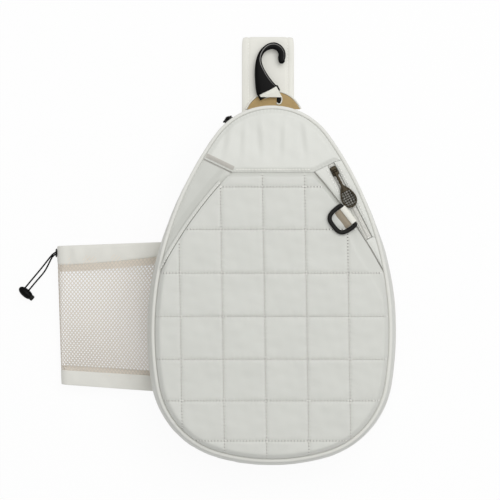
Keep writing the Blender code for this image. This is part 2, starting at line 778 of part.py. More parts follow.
def hook():
    """Flat hook: a tapering J with two rails at its base that hold a round bar."""
    spine = smooth_path(HOOK_SPINE, HOOK_POINT_STEP)
    turn = np.array(Matrix.Rotation(-HOOK_TILT, 2))
    places = spine[:, :2] @ turn.T
    ways = np.gradient(places, axis=0)
    ways /= np.linalg.norm(ways, axis=1, keepdims=True)
    across = np.column_stack([-ways[:, 1], ways[:, 0]])
    left = places + across * spine[:, 2:]
    right = places - across * spine[:, 2:]
    heading = math.atan2(ways[-1, 1], ways[-1, 0])
    turns = [heading - 0.5 * math.pi + math.pi * k / 6 for k in range(1, 6)]
    tip = [places[-1] + spine[-1, 2] * np.array([math.cos(a), math.sin(a)]) for a in turns]
    outline = [tuple(p) for p in (*right, *tip, *left[::-1])]
    half = 0.5 * HOOK_THICKNESS
    body = add_object("hook", prism_mesh("hook", outline, -half, half), Palette.BLACK, 0.25)
    body.matrix_world = hook_matrix()
    bpy.context.view_layer.update()
    reach = places[0, 1] + HOOK_RAIL_BITE
    rail = 0.5 * HOOK_RAIL_WIDTH
    for side, x in (("left", -0.5 * HOOK_RAIL_SPACING), ("right", 0.5 * HOOK_RAIL_SPACING)):
        corners = ((x - rail, 0.0, -half), (x + rail, reach, half))
        combine(body, box_mesh(f"rail_{side}", *corners), "UNION")
        combine(body, rod_mesh(f"eye_{side}", HOOK_EYE_RADIUS, x - rail, x + rail), "UNION")
    bar_end = 0.5 * HOOK_RAIL_SPACING
    combine(body, rod_mesh("hook_bar", HOOK_BAR_RADIUS, -bar_end, bar_end), "UNION")


def slash_point(sign, corner, sag, t):
    """Place and direction at a share of the way down a pocket edge, which is a shallow arc."""
    start = Vector(corner)
    end = Vector((sign * EGG.half_width(SLASH_END_Y), SLASH_END_Y))
    chord = end - start
    out = Vector((-chord.y, chord.x)).normalized() * sign
    spot = start + chord * t + out * sag * 4.0 * t * (1.0 - t)
    way = chord + out * sag * 4.0 * (1.0 - 2.0 * t)
    return spot, way.normalized()


def slash_arc(sign, corner, sag):
    """The pocket edge from its upper corner down to the seam."""
    shares = [k / SLASH_STEPS for k in range(SLASH_STEPS + 1)]
    return [tuple(slash_point(sign, corner, sag, t)[0]) for t in shares]


class FrontZip:
    """The straight line that the front pocket's zip follows."""

    top = Vector((EGG.half_width(FRONT_ZIP_TOP_Y) - FRONT_ZIP_TOP_INSET, FRONT_ZIP_TOP_Y))
    end = Vector((EGG.half_width(FRONT_ZIP_END_Y) - FRONT_ZIP_END_INSET, FRONT_ZIP_END_Y))
    way = (end - top).normalized()
    right = Vector((-way.y, way.x))

    @classmethod
    def at(cls, along, across):
        """A flat point by its distance along the zip and to its right."""
        return tuple(cls.top + cls.way * along + cls.right * across)

    @classmethod
    def length(cls):
        """Length of the zip."""
        return (cls.end - cls.top).length


def front_panels():
    """The smooth panels, the quilted pocket and the zip that cover the front."""
    left = slash_arc(-1.0, SLASH_TOP_LEFT, SLASH_SAG_LEFT)
    right = slash_arc(1.0, SLASH_TOP_RIGHT, SLASH_SAG_RIGHT)
    bottom = EGG.side(SLASH_END_Y, -SEAM_BOTTOM, 0.0, -1.0)
    bottom += EGG.side(-SEAM_BOTTOM, SLASH_END_Y, 0.0, 1.0)[1:]
    length = FrontZip.length()
    wide = FRONT_TAPE_HALF_WIDTH
    tape = [FrontZip.at(0.0, -wide), FrontZip.at(length, -wide)]
    tape += [FrontZip.at(length, wide), FrontZip.at(0.0, wide)]
    zip_seam_y = tape[3][1] + 2.0 * PANEL_ROUND
    strip_end = FrontZip.at(FRONT_STRIP_SHARE * length, wide)
    placket_end = FrontZip.at(FRONT_STRIP_SHARE * length, -wide)
    top_rim = EGG.side(zip_seam_y, SEAM_TOP, 0.0, 1.0)
    top_rim += EGG.side(SEAM_TOP, SLASH_PANEL_TOP_Y, 0.0, -1.0)[1:]
    slash_rim = EGG.side(SLASH_PANEL_TOP_Y, left[-2][1], 0.0, -1.0)
    placket_edge = [p for p in right[1:-1] if p[1] > placket_end[1]]
    strip_rim = EGG.side(strip_end[1], zip_seam_y, 0.0, 1.0)
    outlines = {
        "top_panel": (top_rim + [left[0], right[0], tape[0], tape[3]], TOP_PANEL_THICKNESS),
        "slash_panel": (slash_rim + left[-2::-1], SLASH_PANEL_THICKNESS),
        "zip_placket": ([placket_end, tape[0], right[0]] + placket_edge, PLACKET_THICKNESS),
        "zip_outer_strip": ([tape[3], strip_end] + strip_rim, PLACKET_THICKNESS),
        "front_zip_tape": (tape, FRONT_TAPE_THICKNESS),
    }
    for name, (points, thickness) in outlines.items():
        rounding = min(PANEL_ROUND, 0.4 * thickness)
        mesh = soft_plate(name, inset(points, SEAM_GAP), LAYER_Z, LAYER_Z + thickness, rounding)
        add_object(name, mesh, Palette.SATIN, 0.5)
    quilted_panel(left, right, bottom)
    slash_welt(left)
    front_zip()


def quilted_panel(left, right, bottom):
    """Padded pocket: crowned squares between sewn channels, hollow behind, open at the left."""
    sewn = [*bottom[1:-1], *right[::-1], left[0]]
    outline = [*sewn, *left[1:]]
    outline = inset(outline, SEAM_GAP)
    edge_count = len(sewn) - 1
    edges = [(outline[k], outline[k + 1]) for k in range(-1, edge_count)]
    mouth = [(outline[k], outline[(k + 1) % len(outline)]) for k in range(edge_count, len(outline) - 1)]
    panel = add_object("quilted_panel", quilt_slab(edges), Palette.CREAM, 0.55)
    combine(panel, prism_mesh("quilt_outline", outline, FRONT_Z, CROWN_Z + QUILT_SKIN), "INTERSECT")
    hollow = [(-1.0, -1.0), (1.0, -1.0), (1.0, 1.0), (-1.0, 1.0)]
    for start, end in edges:
        hollow = clipped(hollow, start, end, QUILT_RIM)
    for start, end in mouth:
        hollow = clipped(hollow, start, end, -WELT_WIDTH)
    combine(panel, prism_mesh("quilt_hollow", hollow, FRONT_Z, MOUTH_Z), "DIFFERENCE")


def quilt_lines(line, pitch, low, high):
    """Grid positions across a whole number of squares, close together beside the channels."""
    first = math.floor((low - line) / pitch)
    last = math.ceil((high - line) / pitch)
    return np.array(
        [line + pitch * (k + f) for k in range(first, last) for f in QUILT_STEPS]
        + [line + pitch * last]
    )


def quilt_slab(edges):
    """A slab whose top swells in each square and rolls down to the sewn edges."""
    margin = 0.5 * QUILT_PITCH_X
    xs = quilt_lines(QUILT_LINE_X, QUILT_PITCH_X, -SEAM_HALF_WIDTH - margin, SEAM_HALF_WIDTH + margin)
    ys = quilt_lines(QUILT_LINE_Y, QUILT_PITCH_Y, -SEAM_BOTTOM - margin, SLASH_TOP_LEFT[1] + margin)
    grid_x, grid_y = np.meshgrid(xs, ys, indexing="ij")
    swell = np.ones_like(grid_x)
    for grid, line, pitch in ((grid_x, QUILT_LINE_X, QUILT_PITCH_X), (grid_y, QUILT_LINE_Y, QUILT_PITCH_Y)):
        share = np.mod((grid - line) / pitch + 1e-6, 1.0)
        swell *= np.sqrt(np.abs(np.sin(np.pi * share)))
    depth = np.full_like(grid_x, 1.0)
    for (x0, y0), (x1, y1) in edges:
        run = math.hypot(x1 - x0, y1 - y0)
        depth = np.minimum(depth, ((x1 - x0) * (grid_y - y0) - (y1 - y0) * (grid_x - x0)) / run)
    roll = np.clip(depth / QUILT_EDGE_ROLL, 0.0, 1.0)
    roll = roll * roll * (3.0 - 2.0 * roll)
    edge = LAYER_Z + QUILT_EDGE_HEIGHT
    height = edge + roll * (MOUTH_Z + QUILT_SKIN + QUILT_CROWN * swell - edge)
    bm = bmesh.new()
    top = [
        [bm.verts.new((x, y, z)) for x, y, z in zip(*rows)]
        for rows in zip(grid_x, grid_y, height)
    ]
    for row, following in zip(top, top[1:]):
        for k in range(len(row) - 1):
            bm.faces.new((row[k], following[k], following[k + 1], row[k + 1]))
    rim = [row[0] for row in top] + top[-1][1:] + [row[-1] for row in top[-2::-1]] + top[0][-2:0:-1]
    base = [bm.verts.new((v.co.x, v.co.y, LAYER_Z)) for v in rim]
    for k, upper in enumerate(rim):
        j = (k + 1) % len(rim)
        bm.faces.new((base[k], base[j], rim[j], upper))
    bm.faces.new(base[::-1])
    bmesh.ops.triangulate(bm, faces=bm.faces)
    return mesh_of(bm, "quilted_panel")


def slash_welt(left):
    """Bound edge of the slash pocket, along the quilted panel's left edge."""
    line = [Vector(p) for p in left]
    loops = []
    low, high = MOUTH_Z, MOUTH_Z + WELT_THICKNESS
    for k in range(len(line) - 1):
        before = line[max(k - 1, 0)]
        after = line[k + 1]
        way = (after - before).normalized()
        out = Vector((way.y, -way.x))
        near = line[k] + out * SEAM_GAP
        far = line[k] + out * (SEAM_GAP + WELT_WIDTH)
        middle = near.lerp(far, 0.5)
        loops.append([
            (*near, low), (*far, low), (*far, 0.5 * (low + high)), (*middle, high),
            (*near, 0.5 * (low + high)),
        ])
    add_object("slash_welt", loft("slash_welt", loops), Palette.CREAM, 0.5)


def front_zip():
    """Coil and end stop of the front pocket's zip."""
    length = FrontZip.length()
    low = LAYER_Z + FRONT_TAPE_THICKNESS + CLEARANCE
    high = low + FRONT_COIL_HEIGHT
    half = 0.5 * FRONT_COIL_WIDTH
    spans = {
        "front_zip_coil": (SEAM_GAP, length - FRONT_STOP_LENGTH - SEAM_GAP, Palette.SATIN, 0.0),
        "front_zip_stop": (length - FRONT_STOP_LENGTH, length - SEAM_GAP, Palette.GUNMETAL, 0.9),
    }
    for name, (start, end, colour, metallic) in spans.items():
        points = [FrontZip.at(start, -half), FrontZip.at(end, -half)]
        points += [FrontZip.at(end, half), FrontZip.at(start, half)]
        mesh = soft_plate(name, points, low, high, 0.4 * FRONT_COIL_HEIGHT)
        add_object(name, mesh, colour, 0.4, metallic)


def pin_height():
    """Height of a slider's pin above the underside of its body."""
    return SLIDER_BODY_HEIGHT + CLEARANCE + KNUCKLE_RADIUS


def zip_slider(name, matrix, across, along):
    """Slider body with two cheeks that hold a pin; the pin lies along local X."""
    x, y = 0.5 * across, 0.5 * along
    corner = 0.3 * min(x, y)
    outline = [(x, corner - y), (x, y - corner), (x - corner, y), (corner - x, y)]
    outline += [(-a, -b) for a, b in outline]
    mesh = soft_plate(name, outline, 0.0, SLIDER_BODY_HEIGHT, 0.25 * SLIDER_BODY_HEIGHT)
    slider = add_object(name, mesh, Palette.GUNMETAL, 0.35, 0.9)
    slider.matrix_world = matrix
    bpy.context.view_layer.update()
    near = KNUCKLE_HALF_WIDTH + RUNNING_CLEARANCE
    far = near + CHEEK_THICKNESS
    low = 0.5 * SLIDER_BODY_HEIGHT
    high = pin_height() + CHEEK_REACH
    for side, start, end in (("left", -far, -near), ("right", near, far)):
        corners = ((start, -CHEEK_REACH, low), (end, CHEEK_REACH, high))
        combine(slider, box_mesh(f"cheek_{side}", *corners), "UNION")
    pin = rod_mesh("slider_pin", PIN_RADIUS, -0.5 * (near + far), 0.5 * (near + far), 12)
    pin.transform(Matrix.Translation((0.0, 0.0, pin_height())))
    combine(slider, pin, "UNION")
    return slider


def zip_pull(name, slider, outline, colour, metallic):
    """Flat pull that hangs from a slider's pin along local +Y."""
    half = 0.5 * PULL_THICKNESS
    mesh = prism_mesh(name, outline, -half, half)
    pull = add_object(name, mesh, colour, 0.35, metallic)
    pull.matrix_world = slider.matrix_world @ Matrix.Translation((0.0, 0.0, pin_height()))
    bpy.context.view_layer.update()
    wide = KNUCKLE_HALF_WIDTH
    combine(pull, rod_mesh("knuckle", KNUCKLE_RADIUS, -wide, wide), "UNION")
    hole = rod_mesh("knuckle_hole", PIN_RADIUS + CLEARANCE, -2.0 * wide, 2.0 * wide, 12)
    combine(pull, hole, "DIFFERENCE")


def racket_outline():
    """Outline of the racket-shaped pull: a narrow grip and an oval head."""
    a = 0.5 * PULL_HEAD_WIDTH
    b = 0.5 * PULL_HEAD_LENGTH
    centre = PULL_LENGTH - b
    neck = 0.5 * PULL_NECK_WIDTH
    start = math.acos(neck / a)
    sweep_angle = math.pi + 2.0 * start
    turns = [-start + sweep_angle * k / 20 for k in range(21)]
    head = [(a * math.cos(t), centre + b * math.sin(t)) for t in turns]
    grip = KNUCKLE_HALF_WIDTH
    return [(grip, 0.0), *head, (-grip, 0.0)]


def front_slider_matrix():
    """Place of the front slider: local Y down the zip, local Z out of the panel."""
    spot = FrontZip.at(FRONT_SLIDER_START, 0.0)
    low = LAYER_Z + FRONT_TAPE_THICKNESS + FRONT_COIL_HEIGHT + 2.0 * CLEARANCE
    return frame_matrix((*spot, low), (*-FrontZip.right, 0.0), (*FrontZip.way, 0.0))


def front_zip_hardware():
    """Slider and racket-shaped pull of the front pocket."""
    matrix = front_slider_matrix()
    slider = zip_slider("front_slider", matrix, FRONT_SLIDER_WIDTH, FRONT_SLIDER_LENGTH)
    zip_pull("front_pull", slider, racket_outline(), Palette.GUNMETAL, 0.9)


def main_zip_hardware():
    """Slider of the main zip on the top arc, with a pull that hangs down the side wall."""
    way = Vector((math.cos(MAIN_SLIDER_ANGLE), math.sin(MAIN_SLIDER_ANGLE)))
    radius = TOP_RADIUS + GUSSET_BULGE - BULGE_TAPER + RUNNING_CLEARANCE
    spot = EGG.top + way * radius
    matrix = frame_matrix((*spot, ZIP_Z), (way.y, -way.x, 0.0), (0.0, 0.0, -1.0))
    slider = zip_slider("main_slider", matrix, MAIN_SLIDER_LENGTH, MAIN_SLIDER_WIDTH)
    half = 0.5 * MAIN_PULL_WIDTH
    grip = KNUCKLE_HALF_WIDTH
    shoulder = 2.0 * KNUCKLE_RADIUS
    outline = [(grip, 0.0), (grip, shoulder), (half, shoulder + half - grip)]
    outline += [(half, MAIN_PULL_LENGTH - grip), (half - grip, MAIN_PULL_LENGTH)]
    outline += [(-x, y) for x, y in reversed(outline)]
    zip_pull("main_pull", slider, outline, Palette.BLACK, 0.0)


def d_ring_parts():
    """Webbing tab sewn beside the quilted pocket, and the ring that turns in it."""
    spot, way = slash_point(1.0, SLASH_TOP_RIGHT, SLASH_SAG_RIGHT, D_RING_SHARE)
    along = Matrix.Rotation(D_RING_TURN, 2) @ way
    bow = Vector((along.y, -along.x))
    matrix = frame_matrix((*(spot + bow * D_RING_INSET), D_RING_Z), (*-along, 0.0), (*bow, 0.0))
    wire = 0.5 * D_RING_WIRE
    hole = wire + RUNNING_CLEARANCE
    outer = hole + D_TAB_WALL
    half = 0.5 * D_TAB_WIDTH
    tab = add_object("d_ring_tab", rod_mesh("tab_sleeve", outer, -half, half, 20), Palette.WEBBING)
    tab.matrix_world = matrix
    bpy.context.view_layer.update()
    foot = MOUTH_Z + SEAM_GAP - D_RING_Z
    corners = ((-half, outer - D_TAB_TAIL, foot), (half, outer, 0.0))
    combine(tab, box_mesh("tab_tail", *corners), "UNION")
    combine(tab, rod_mesh("tab_hole", hole, -2.0 * half, 2.0 * half), "DIFFERENCE")
    reach = 0.5 * D_RING_WIDTH - wire
    depth = D_RING_DEPTH - D_RING_WIRE
    turns = [math.pi * k / D_RING_POINTS for k in range(D_RING_POINTS + 1)]
    power = 2.0 / D_RING_SQUARENESS
    points = []
    for a in turns:
        x = math.copysign(abs(math.cos(a)) ** power, math.cos(a))
        points.append((reach * x, depth * abs(math.sin(a)) ** power, 0.0))
    ring = tube("d_ring", points, D_RING_WIRE, Palette.BLACK, cyclic=True, roughness=0.35)
    ring.matrix_world = matrix


def front_shell():
    """The half that opens, hinged along the bottom of the zip."""
    panel = prism_mesh("front_panel", EGG.loop(0.0), FRONT_Z, FACE_Z)
    add_object("front_panel", panel, Palette.CREAM, 0.6)
    piping("front_piping", FRONT_PIPING_Z)
    end = FRONT_PIPING_Z - PIPING_RADIUS - CLEARANCE
    gusset("front_gusset", ZIP_Z + ZIP_HALF_WIDTH, end)
    zip_half("front", 1.0)
    front_panels()
    d_ring_parts()
    front_zip_hardware()
    names = (
        "front_panel", "front_piping", "front_gusset", "main_zip_tape_front",
        "main_zip_coil_front", "top_panel", "slash_panel", "slash_welt", "quilted_panel",
        "zip_placket", "zip_outer_strip", "front_zip_tape", "front_zip_coil",
        "front_zip_stop", "front_slider", "front_pull", "d_ring_tab", "d_ring",
    )
    hinge = pivot("front_hinge", (0.0, -SEAM_BOTTOM - GUSSET_BULGE, ZIP_Z))
    ride([bpy.data.objects[name] for name in names], hinge)


class Pocket:
    """The flat net pocket: a cloth that folds round its left edge and is open at the bag."""

    @staticmethod
    def left(t):
        """Left edge at a share of the way from the bottom to the top."""
        return Vector(POCKET_BOTTOM_LEFT).lerp(Vector(POCKET_TOP_LEFT), t)

    @staticmethod
    def right(t):
        """Right edge, against the side wall, at a share of the way up."""
        y = POCKET_BOTTOM_RIGHT_Y + (POCKET_TOP_RIGHT_Y - POCKET_BOTTOM_RIGHT_Y) * t
        reach = wall_offset(POCKET_LIFT + POCKET_DEPTH) + 2.0 * CLEARANCE + SEAM_GAP
        return Vector((-EGG.half_width(y, reach), y))

    @classmethod
    def path(cls, t, skin, turn_from):
        """Points from the upper right edge round the left fold to the lower right edge."""
        left, right = cls.left(t), cls.right(t)
        radius = 0.5 * POCKET_DEPTH - skin
        turns = [
            turn_from + (1.5 * math.pi - turn_from) * k / POCKET_ROUND_STEPS
            for k in range(POCKET_ROUND_STEPS + 1)
        ]
        centre = left.x + 0.5 * POCKET_DEPTH
        flat = [(centre + radius * math.cos(a), POCKET_MID_Z + radius * math.sin(a)) for a in turns]
        if turn_from <= 0.5 * math.pi:
            flat.insert(0, (right.x, POCKET_MID_Z + radius))
        flat.append((right.x, POCKET_MID_Z - radius))
        width = right.x - left.x
        return [(x, left.y + (right.y - left.y) * (x - left.x) / width, z) for x, z in flat]

    @classmethod
    def sheet(cls, name, span, skin, thickness, turn_from=0.5 * math.pi):
        """A folded cloth of one thickness between two shares of the pocket's height."""
        shares = [span[0] + (span[1] - span[0]) * k / POCKET_STATIONS for k in range(POCKET_STATIONS + 1)]
        loops = []
        for t in shares:
            outer = cls.path(t, skin, turn_from)
            inner = cls.path(t, skin + thickness, turn_from)
            loops.append(outer + inner[::-1])
        return loft(name, loops)

    @classmethod
    def upper(cls, s, t, z):
        """A point on the upper cloth by its shares across and up."""
        left, right = cls.left(t), cls.right(t)
        start = left + (right - left) * (0.5 * POCKET_DEPTH / (right.x - left.x))
        flat = start.lerp(right, s)
        return (flat.x, flat.y, z)


def pocket_net(span):
    """Upper face of the pocket: a flat net with diamond gaps."""
    high = POCKET_LIFT + POCKET_DEPTH
    levels = (high - POCKET_CLOTH, high)
    bm = bmesh.new()

    def layer(z):
        corners = [
            [
                bm.verts.new(Pocket.upper(i / NET_COLUMNS, span[0] + (span[1] - span[0]) * j / NET_ROWS, z))
                for j in range(NET_ROWS + 1)
            ]
            for i in range(NET_COLUMNS + 1)
        ]
        gaps = {}
        for i in range(NET_COLUMNS):
            for j in range(NET_ROWS):
                ring = (corners[i][j], corners[i + 1][j], corners[i + 1][j + 1], corners[i][j + 1])
                middle = sum((v.co for v in ring), Vector()) / 4.0
                sides = [0.5 * (ring[k].co + ring[(k + 1) % 4].co) for k in range(4)]
                gap = [bm.verts.new(middle.lerp(p, 2.0 * NET_HOLE_SHARE)) for p in sides]
                gaps[i, j] = gap
                for k in range(4):
                    bm.faces.new((ring[k], ring[(k + 1) % 4], gap[k]))
                    bm.faces.new((ring[k], gap[k], gap[k - 1]))
        return corners, gaps

    low_corners, low_gaps = layer(levels[0])
    top_corners, top_gaps = layer(levels[1])
    for key, gap in low_gaps.items():
        upper = top_gaps[key]
        for k in range(4):
            bm.faces.new((gap[k], gap[k - 1], upper[k - 1], upper[k]))

    def rim(grid):
        return (
            [row[0] for row in grid] + grid[-1][1:]
            + [row[-1] for row in grid[-2::-1]] + grid[0][-2:0:-1]
        )

    below, above = rim(low_corners), rim(top_corners)
    for k in range(len(below)):
        bm.faces.new((below[k - 1], below[k], above[k], above[k - 1]))
    add_object("pocket_net", mesh_of(bm, "pocket_net", smooth=False), Palette.NET, 0.7)


def side_pocket():
    """Net pocket with a plain back, a corded hem, a cloth base and an eyelet."""
    gap = SEAM_GAP / (POCKET_TOP_LEFT[1] - POCKET_BOTTOM_LEFT[1])
    hem_start = 1.0 - POCKET_HEM_SHARE
    net_span = (POCKET_BASE_SHARE + gap, hem_start - gap)
    pocket_net(net_span)
    fold_end = 0.5 * math.pi + POCKET_FOLD_GAP
    mesh = Pocket.sheet("pocket_back", net_span, 0.0, POCKET_CLOTH, fold_end)
    add_object("pocket_back", mesh, Palette.NET, 0.7)
    hem = add_object("pocket_hem", Pocket.sheet("hem", (hem_start, 1.0), 0.0, POCKET_CLOTH), Palette.CREAM)
    facing_skin = POCKET_CLOTH + POCKET_TUNNEL
    mesh = Pocket.sheet("pocket_hem_facing", (hem_start, 1.0), facing_skin, POCKET_CLOTH)
    add_object("pocket_hem_facing", mesh, Palette.SATIN)
    mesh = Pocket.sheet("pocket_base", (0.0, POCKET_BASE_SHARE), 0.0, POCKET_CLOTH)
    add_object("pocket_base", mesh, Palette.CREAM)
    ends = []
    for t in (0.0, gap * POCKET_CLOTH / SEAM_GAP):
        ends.append(Pocket.path(t, POCKET_CLOTH + CLEARANCE, 0.5 * math.pi))
    add_object("pocket_base_end", loft("pocket_base_end", ends), Palette.CREAM)
    hole = rod_mesh("hem_hole", EYELET_HOLE_RADIUS, -EYELET_RADIUS, POCKET_CLOTH + EYELET_RADIUS)
    hole.transform(Matrix.Translation((eyelet_x(), EYELET_Y, POCKET_MID_Z)))
    combine(hem, hole, "DIFFERENCE")
    eyelet()


def eyelet_x():
    """Where the hem's outer face is at the eyelet's height on the pocket."""
    share = (EYELET_Y - POCKET_BOTTOM_LEFT[1]) / (POCKET_TOP_LEFT[1] - POCKET_BOTTOM_LEFT[1])
    return Pocket.left(share).x


def eyelet():
    """Black ring on the left end of the hem, for the two strands of the drawcord."""
    sides = 20
    turns = [2.0 * math.pi * k / sides for k in range(sides)]
    inner, outer = EYELET_HOLE_RADIUS, EYELET_RADIUS
    middle = 0.5 * (inner + outer)
    near = -SEAM_GAP
    far = near - EYELET_THICKNESS
    profile = [(inner, near), (outer, near), (middle, far), (inner, 0.5 * (near + far))]
    loops = [[(x, r * math.cos(a), r * math.sin(a)) for r, x in profile] for a in turns]
    ring = add_object("eyelet", loft("eyelet", loops, closed=True), Palette.BLACK, 0.3)
    ring.location = (eyelet_x(), EYELET_Y, POCKET_MID_Z)


def drawcord():
    """Free strands from the eyelet to the lock, and the hidden runs in the hem's tunnel."""
    heading = Vector((*LOCK_HEADING, 0.0)).normalized()
    across = Vector((heading.y, -heading.x, 0.0))
    lock = Vector((*LOCK_CENTRE, LOCK_Z))
    x = eyelet_x()
    spread = 0.5 * CORD_DIAMETER + CLEARANCE
    tunnel = POCKET_CLOTH + 0.5 * POCKET_TUNNEL
    share = (EYELET_Y - POCKET_BOTTOM_LEFT[1]) / (POCKET_TOP_LEFT[1] - POCKET_BOTTOM_LEFT[1])
    runs = (("a", "front", -1.0, 1.0), ("b", "back", 1.0, -1.0))
    for letter, side, sign, lift in runs:
        foot = lock + across * (LOCK_BORE_X + sign * 0.5 * CORD_SPACING)
        mouth_y = EYELET_Y - sign * spread
        points = [
            foot - heading * LOCK_TAIL,
            foot,
            foot + heading * 0.5 * LOCK_STRAIGHT,
            foot + heading * LOCK_STRAIGHT,
            (x - CORD_BEND[0], mouth_y - CORD_BEND[1], POCKET_MID_Z - CORD_BEND[2]),
            (x - CORD_EXIT, mouth_y, POCKET_MID_Z),
            (x + tunnel - CORD_TUCK, mouth_y, POCKET_MID_Z),
        ]
        path = smooth_path(points[::-1], CORD_POINT_STEP)
        tube(f"drawcord_strand_{letter}", path, CORD_DIAMETER, Palette.BLACK)
        path = Pocket.path(share, tunnel, 0.5 * math.pi)
        middle = len(path) // 2
        run = path[middle::-1] if lift > 0.0 else path[middle:]
        run = [(px, py + mouth_y - EYELET_Y, pz) for px, py, pz in run]
        run[0] = tuple(Vector(run[0]) + Vector((0.0, 0.0, lift * spread)))
        run[-1] = tuple(Vector(run[-1]).lerp(Vector(run[-2]), HEM_CORD_TRIM))
        name = f"drawcord_hem_{side}"
        tube(name, smooth_path(run, CORD_POINT_STEP), CORD_DIAMETER, Palette.BLACK)


def cord_lock():
    """Bean-shaped cord lock with two bores, a sprung button and its spring."""
    heading = Vector((*LOCK_HEADING, 0.0)).normalized()
    across = Vector((heading.y, -heading.x, 0.0))
    matrix = frame_matrix((*LOCK_CENTRE, LOCK_Z), across, heading)
    bm = bmesh.new()
    bmesh.ops.create_uvsphere(bm, u_segments=18, v_segments=10, radius=0.5)
    bmesh.ops.scale(bm, verts=bm.verts, vec=(LOCK_LENGTH, LOCK_DEPTH, LOCK_DEPTH))
    barrel = add_object("cord_lock", mesh_of(bm, "cord_lock"), Palette.BLACK, 0.3)
    barrel.matrix_world = matrix
    bpy.context.view_layer.update()
    turn = Matrix.Rotation(0.5 * math.pi, 4, "Z")
    for side, sign in (("left", -1.0), ("right", 1.0)):
        bore = rod_mesh(f"bore_{side}", LOCK_BORE_RADIUS, -LOCK_DEPTH, LOCK_DEPTH, 12)
        spot = (LOCK_BORE_X + sign * 0.5 * CORD_SPACING, 0.0, 0.0)
        bore.transform(Matrix.Translation(spot) @ turn)
        combine(barrel, bore, "DIFFERENCE")
    wall = LOCK_BUTTON_RADIUS + RUNNING_CLEARANCE
    seat = LOCK_BORE_X + 0.5 * CORD_SPACING + LOCK_BORE_RADIUS + LOCK_BORE_WALL
    button_start = seat + LOCK_SPRING_LENGTH
    cavity = rod_mesh("button_bore", wall, seat, LOCK_LENGTH)
    combine(barrel, cavity, "DIFFERENCE")
    end = button_start + LOCK_BUTTON_LENGTH
    button = rod_mesh("cord_lock_button", LOCK_BUTTON_RADIUS, button_start, end)
    cap = add_object("cord_lock_button", button, Palette.DARK, 0.4)
    cap.matrix_world = matrix
    outer = LOCK_BUTTON_RADIUS - CLEARANCE
    spring = rod_mesh("cord_lock_spring", outer, seat + CLEARANCE, button_start - CLEARANCE)
    spring = add_object("cord_lock_spring", spring, Palette.GUNMETAL, 0.4, 1.0)
    spring.matrix_world = matrix
    bpy.context.view_layer.update()
    core = rod_mesh("spring_core", outer - LOCK_SPRING_WALL, -LOCK_LENGTH, LOCK_LENGTH)
    combine(spring, core, "DIFFERENCE")


def main():
    """Build the whole bag."""
    clear_scene()
    back_shell()
    shoulder_strap()
    strap_anchor()
    hook_tab()
    hook_loop()
    hook()
    side_pocket()
    drawcord()
    cord_lock()
    front_shell()
    main_zip_hardware()


main()
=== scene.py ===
"""Looks of a racket backpack that lies on its back, seen from straight above.

Every piece is a surface worked out on a grid of two parameters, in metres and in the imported
model's own frame: +X to the bag's right, +Y to its top and +Z out of its front.
"""

import logging
import math
from collections.abc import Callable
from dataclasses import dataclass, replace
from enum import Enum
from functools import cached_property

import bpy
import numpy as np
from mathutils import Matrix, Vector


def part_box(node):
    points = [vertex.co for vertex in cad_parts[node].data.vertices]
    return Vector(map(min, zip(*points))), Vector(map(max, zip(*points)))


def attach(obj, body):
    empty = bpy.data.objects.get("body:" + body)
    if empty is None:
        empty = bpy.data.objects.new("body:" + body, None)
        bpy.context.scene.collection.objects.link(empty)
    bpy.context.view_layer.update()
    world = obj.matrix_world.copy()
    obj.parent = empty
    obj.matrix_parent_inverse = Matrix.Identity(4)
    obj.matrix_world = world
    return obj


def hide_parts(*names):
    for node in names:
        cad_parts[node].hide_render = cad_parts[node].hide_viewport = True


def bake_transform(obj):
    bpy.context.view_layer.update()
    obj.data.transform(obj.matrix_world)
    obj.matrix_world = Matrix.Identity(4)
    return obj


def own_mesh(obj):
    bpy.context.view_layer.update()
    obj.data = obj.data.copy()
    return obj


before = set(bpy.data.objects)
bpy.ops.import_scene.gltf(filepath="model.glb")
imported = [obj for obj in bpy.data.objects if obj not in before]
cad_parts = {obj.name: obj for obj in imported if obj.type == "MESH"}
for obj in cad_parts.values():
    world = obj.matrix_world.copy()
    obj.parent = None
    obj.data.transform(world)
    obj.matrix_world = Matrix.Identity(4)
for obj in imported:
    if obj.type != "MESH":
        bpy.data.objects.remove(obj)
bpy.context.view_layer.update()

Array = np.ndarray
Pair = tuple[float, float]
Triple = tuple[float, float, float]
Height = Callable[[Array, Array], Array]
Socket = bpy.types.NodeSocket
Feed = Socket | float | tuple[float, ...]
LOG = logging.getLogger("racket_backpack")
EAST, NORTH, UP = np.eye(3)
SHARP = math.radians(55.0)


class Body(Enum):
    """The moving bodies that the pieces ride on."""

    BACK = "back_shell"
    FRONT = "front_shell"
    FRONT_SLIDER = "front_slider"
    FRONT_PULL = "front_pull"
    RING = "d_ring"
    HOOK = "hook"
    MAIN_SLIDER = "main_slider"
    MAIN_PULL = "main_pull"
    LOCK = "cord_lock"
    BUTTON = "cord_lock_button"


class Slot(Enum):
    """The record's material slots."""

    CREAM = "cream_cloth"
    SATIN = "satin_cloth"
    PAD = "pad_cloth"
    NET = "net_cloth"
    WEBBING = "webbing"
    STRAP = "strap_cloth"
    TAN = "tan_cloth"
    TAPE = "zip_tape"
    CORD = "black_cord"
    GLOSS = "black_plastic"
    DARK = "dark_plastic"
    METAL = "gunmetal"
    STEEL = "steel"


class Grain(Enum):
    """The kinds of surface relief."""

    COATED = "fine pebbled coating"
    SATIN = "fine slanted lines"
    WEAVE = "crossing threads"
    RIB = "cross ribs with a fine weave"
    KNIT = "round dimples"
    MOULDED = "faint even texture"


def tone(*shades: float) -> tuple[float, ...]:
    """Linear colour of shades as they show on a screen, from 0 to 255."""
    shares = np.array(shades) / 255.0
    return tuple(np.where(shares <= 0.04045, shares / 12.92, ((shares + 0.055) / 1.055) ** 2.4).tolist())


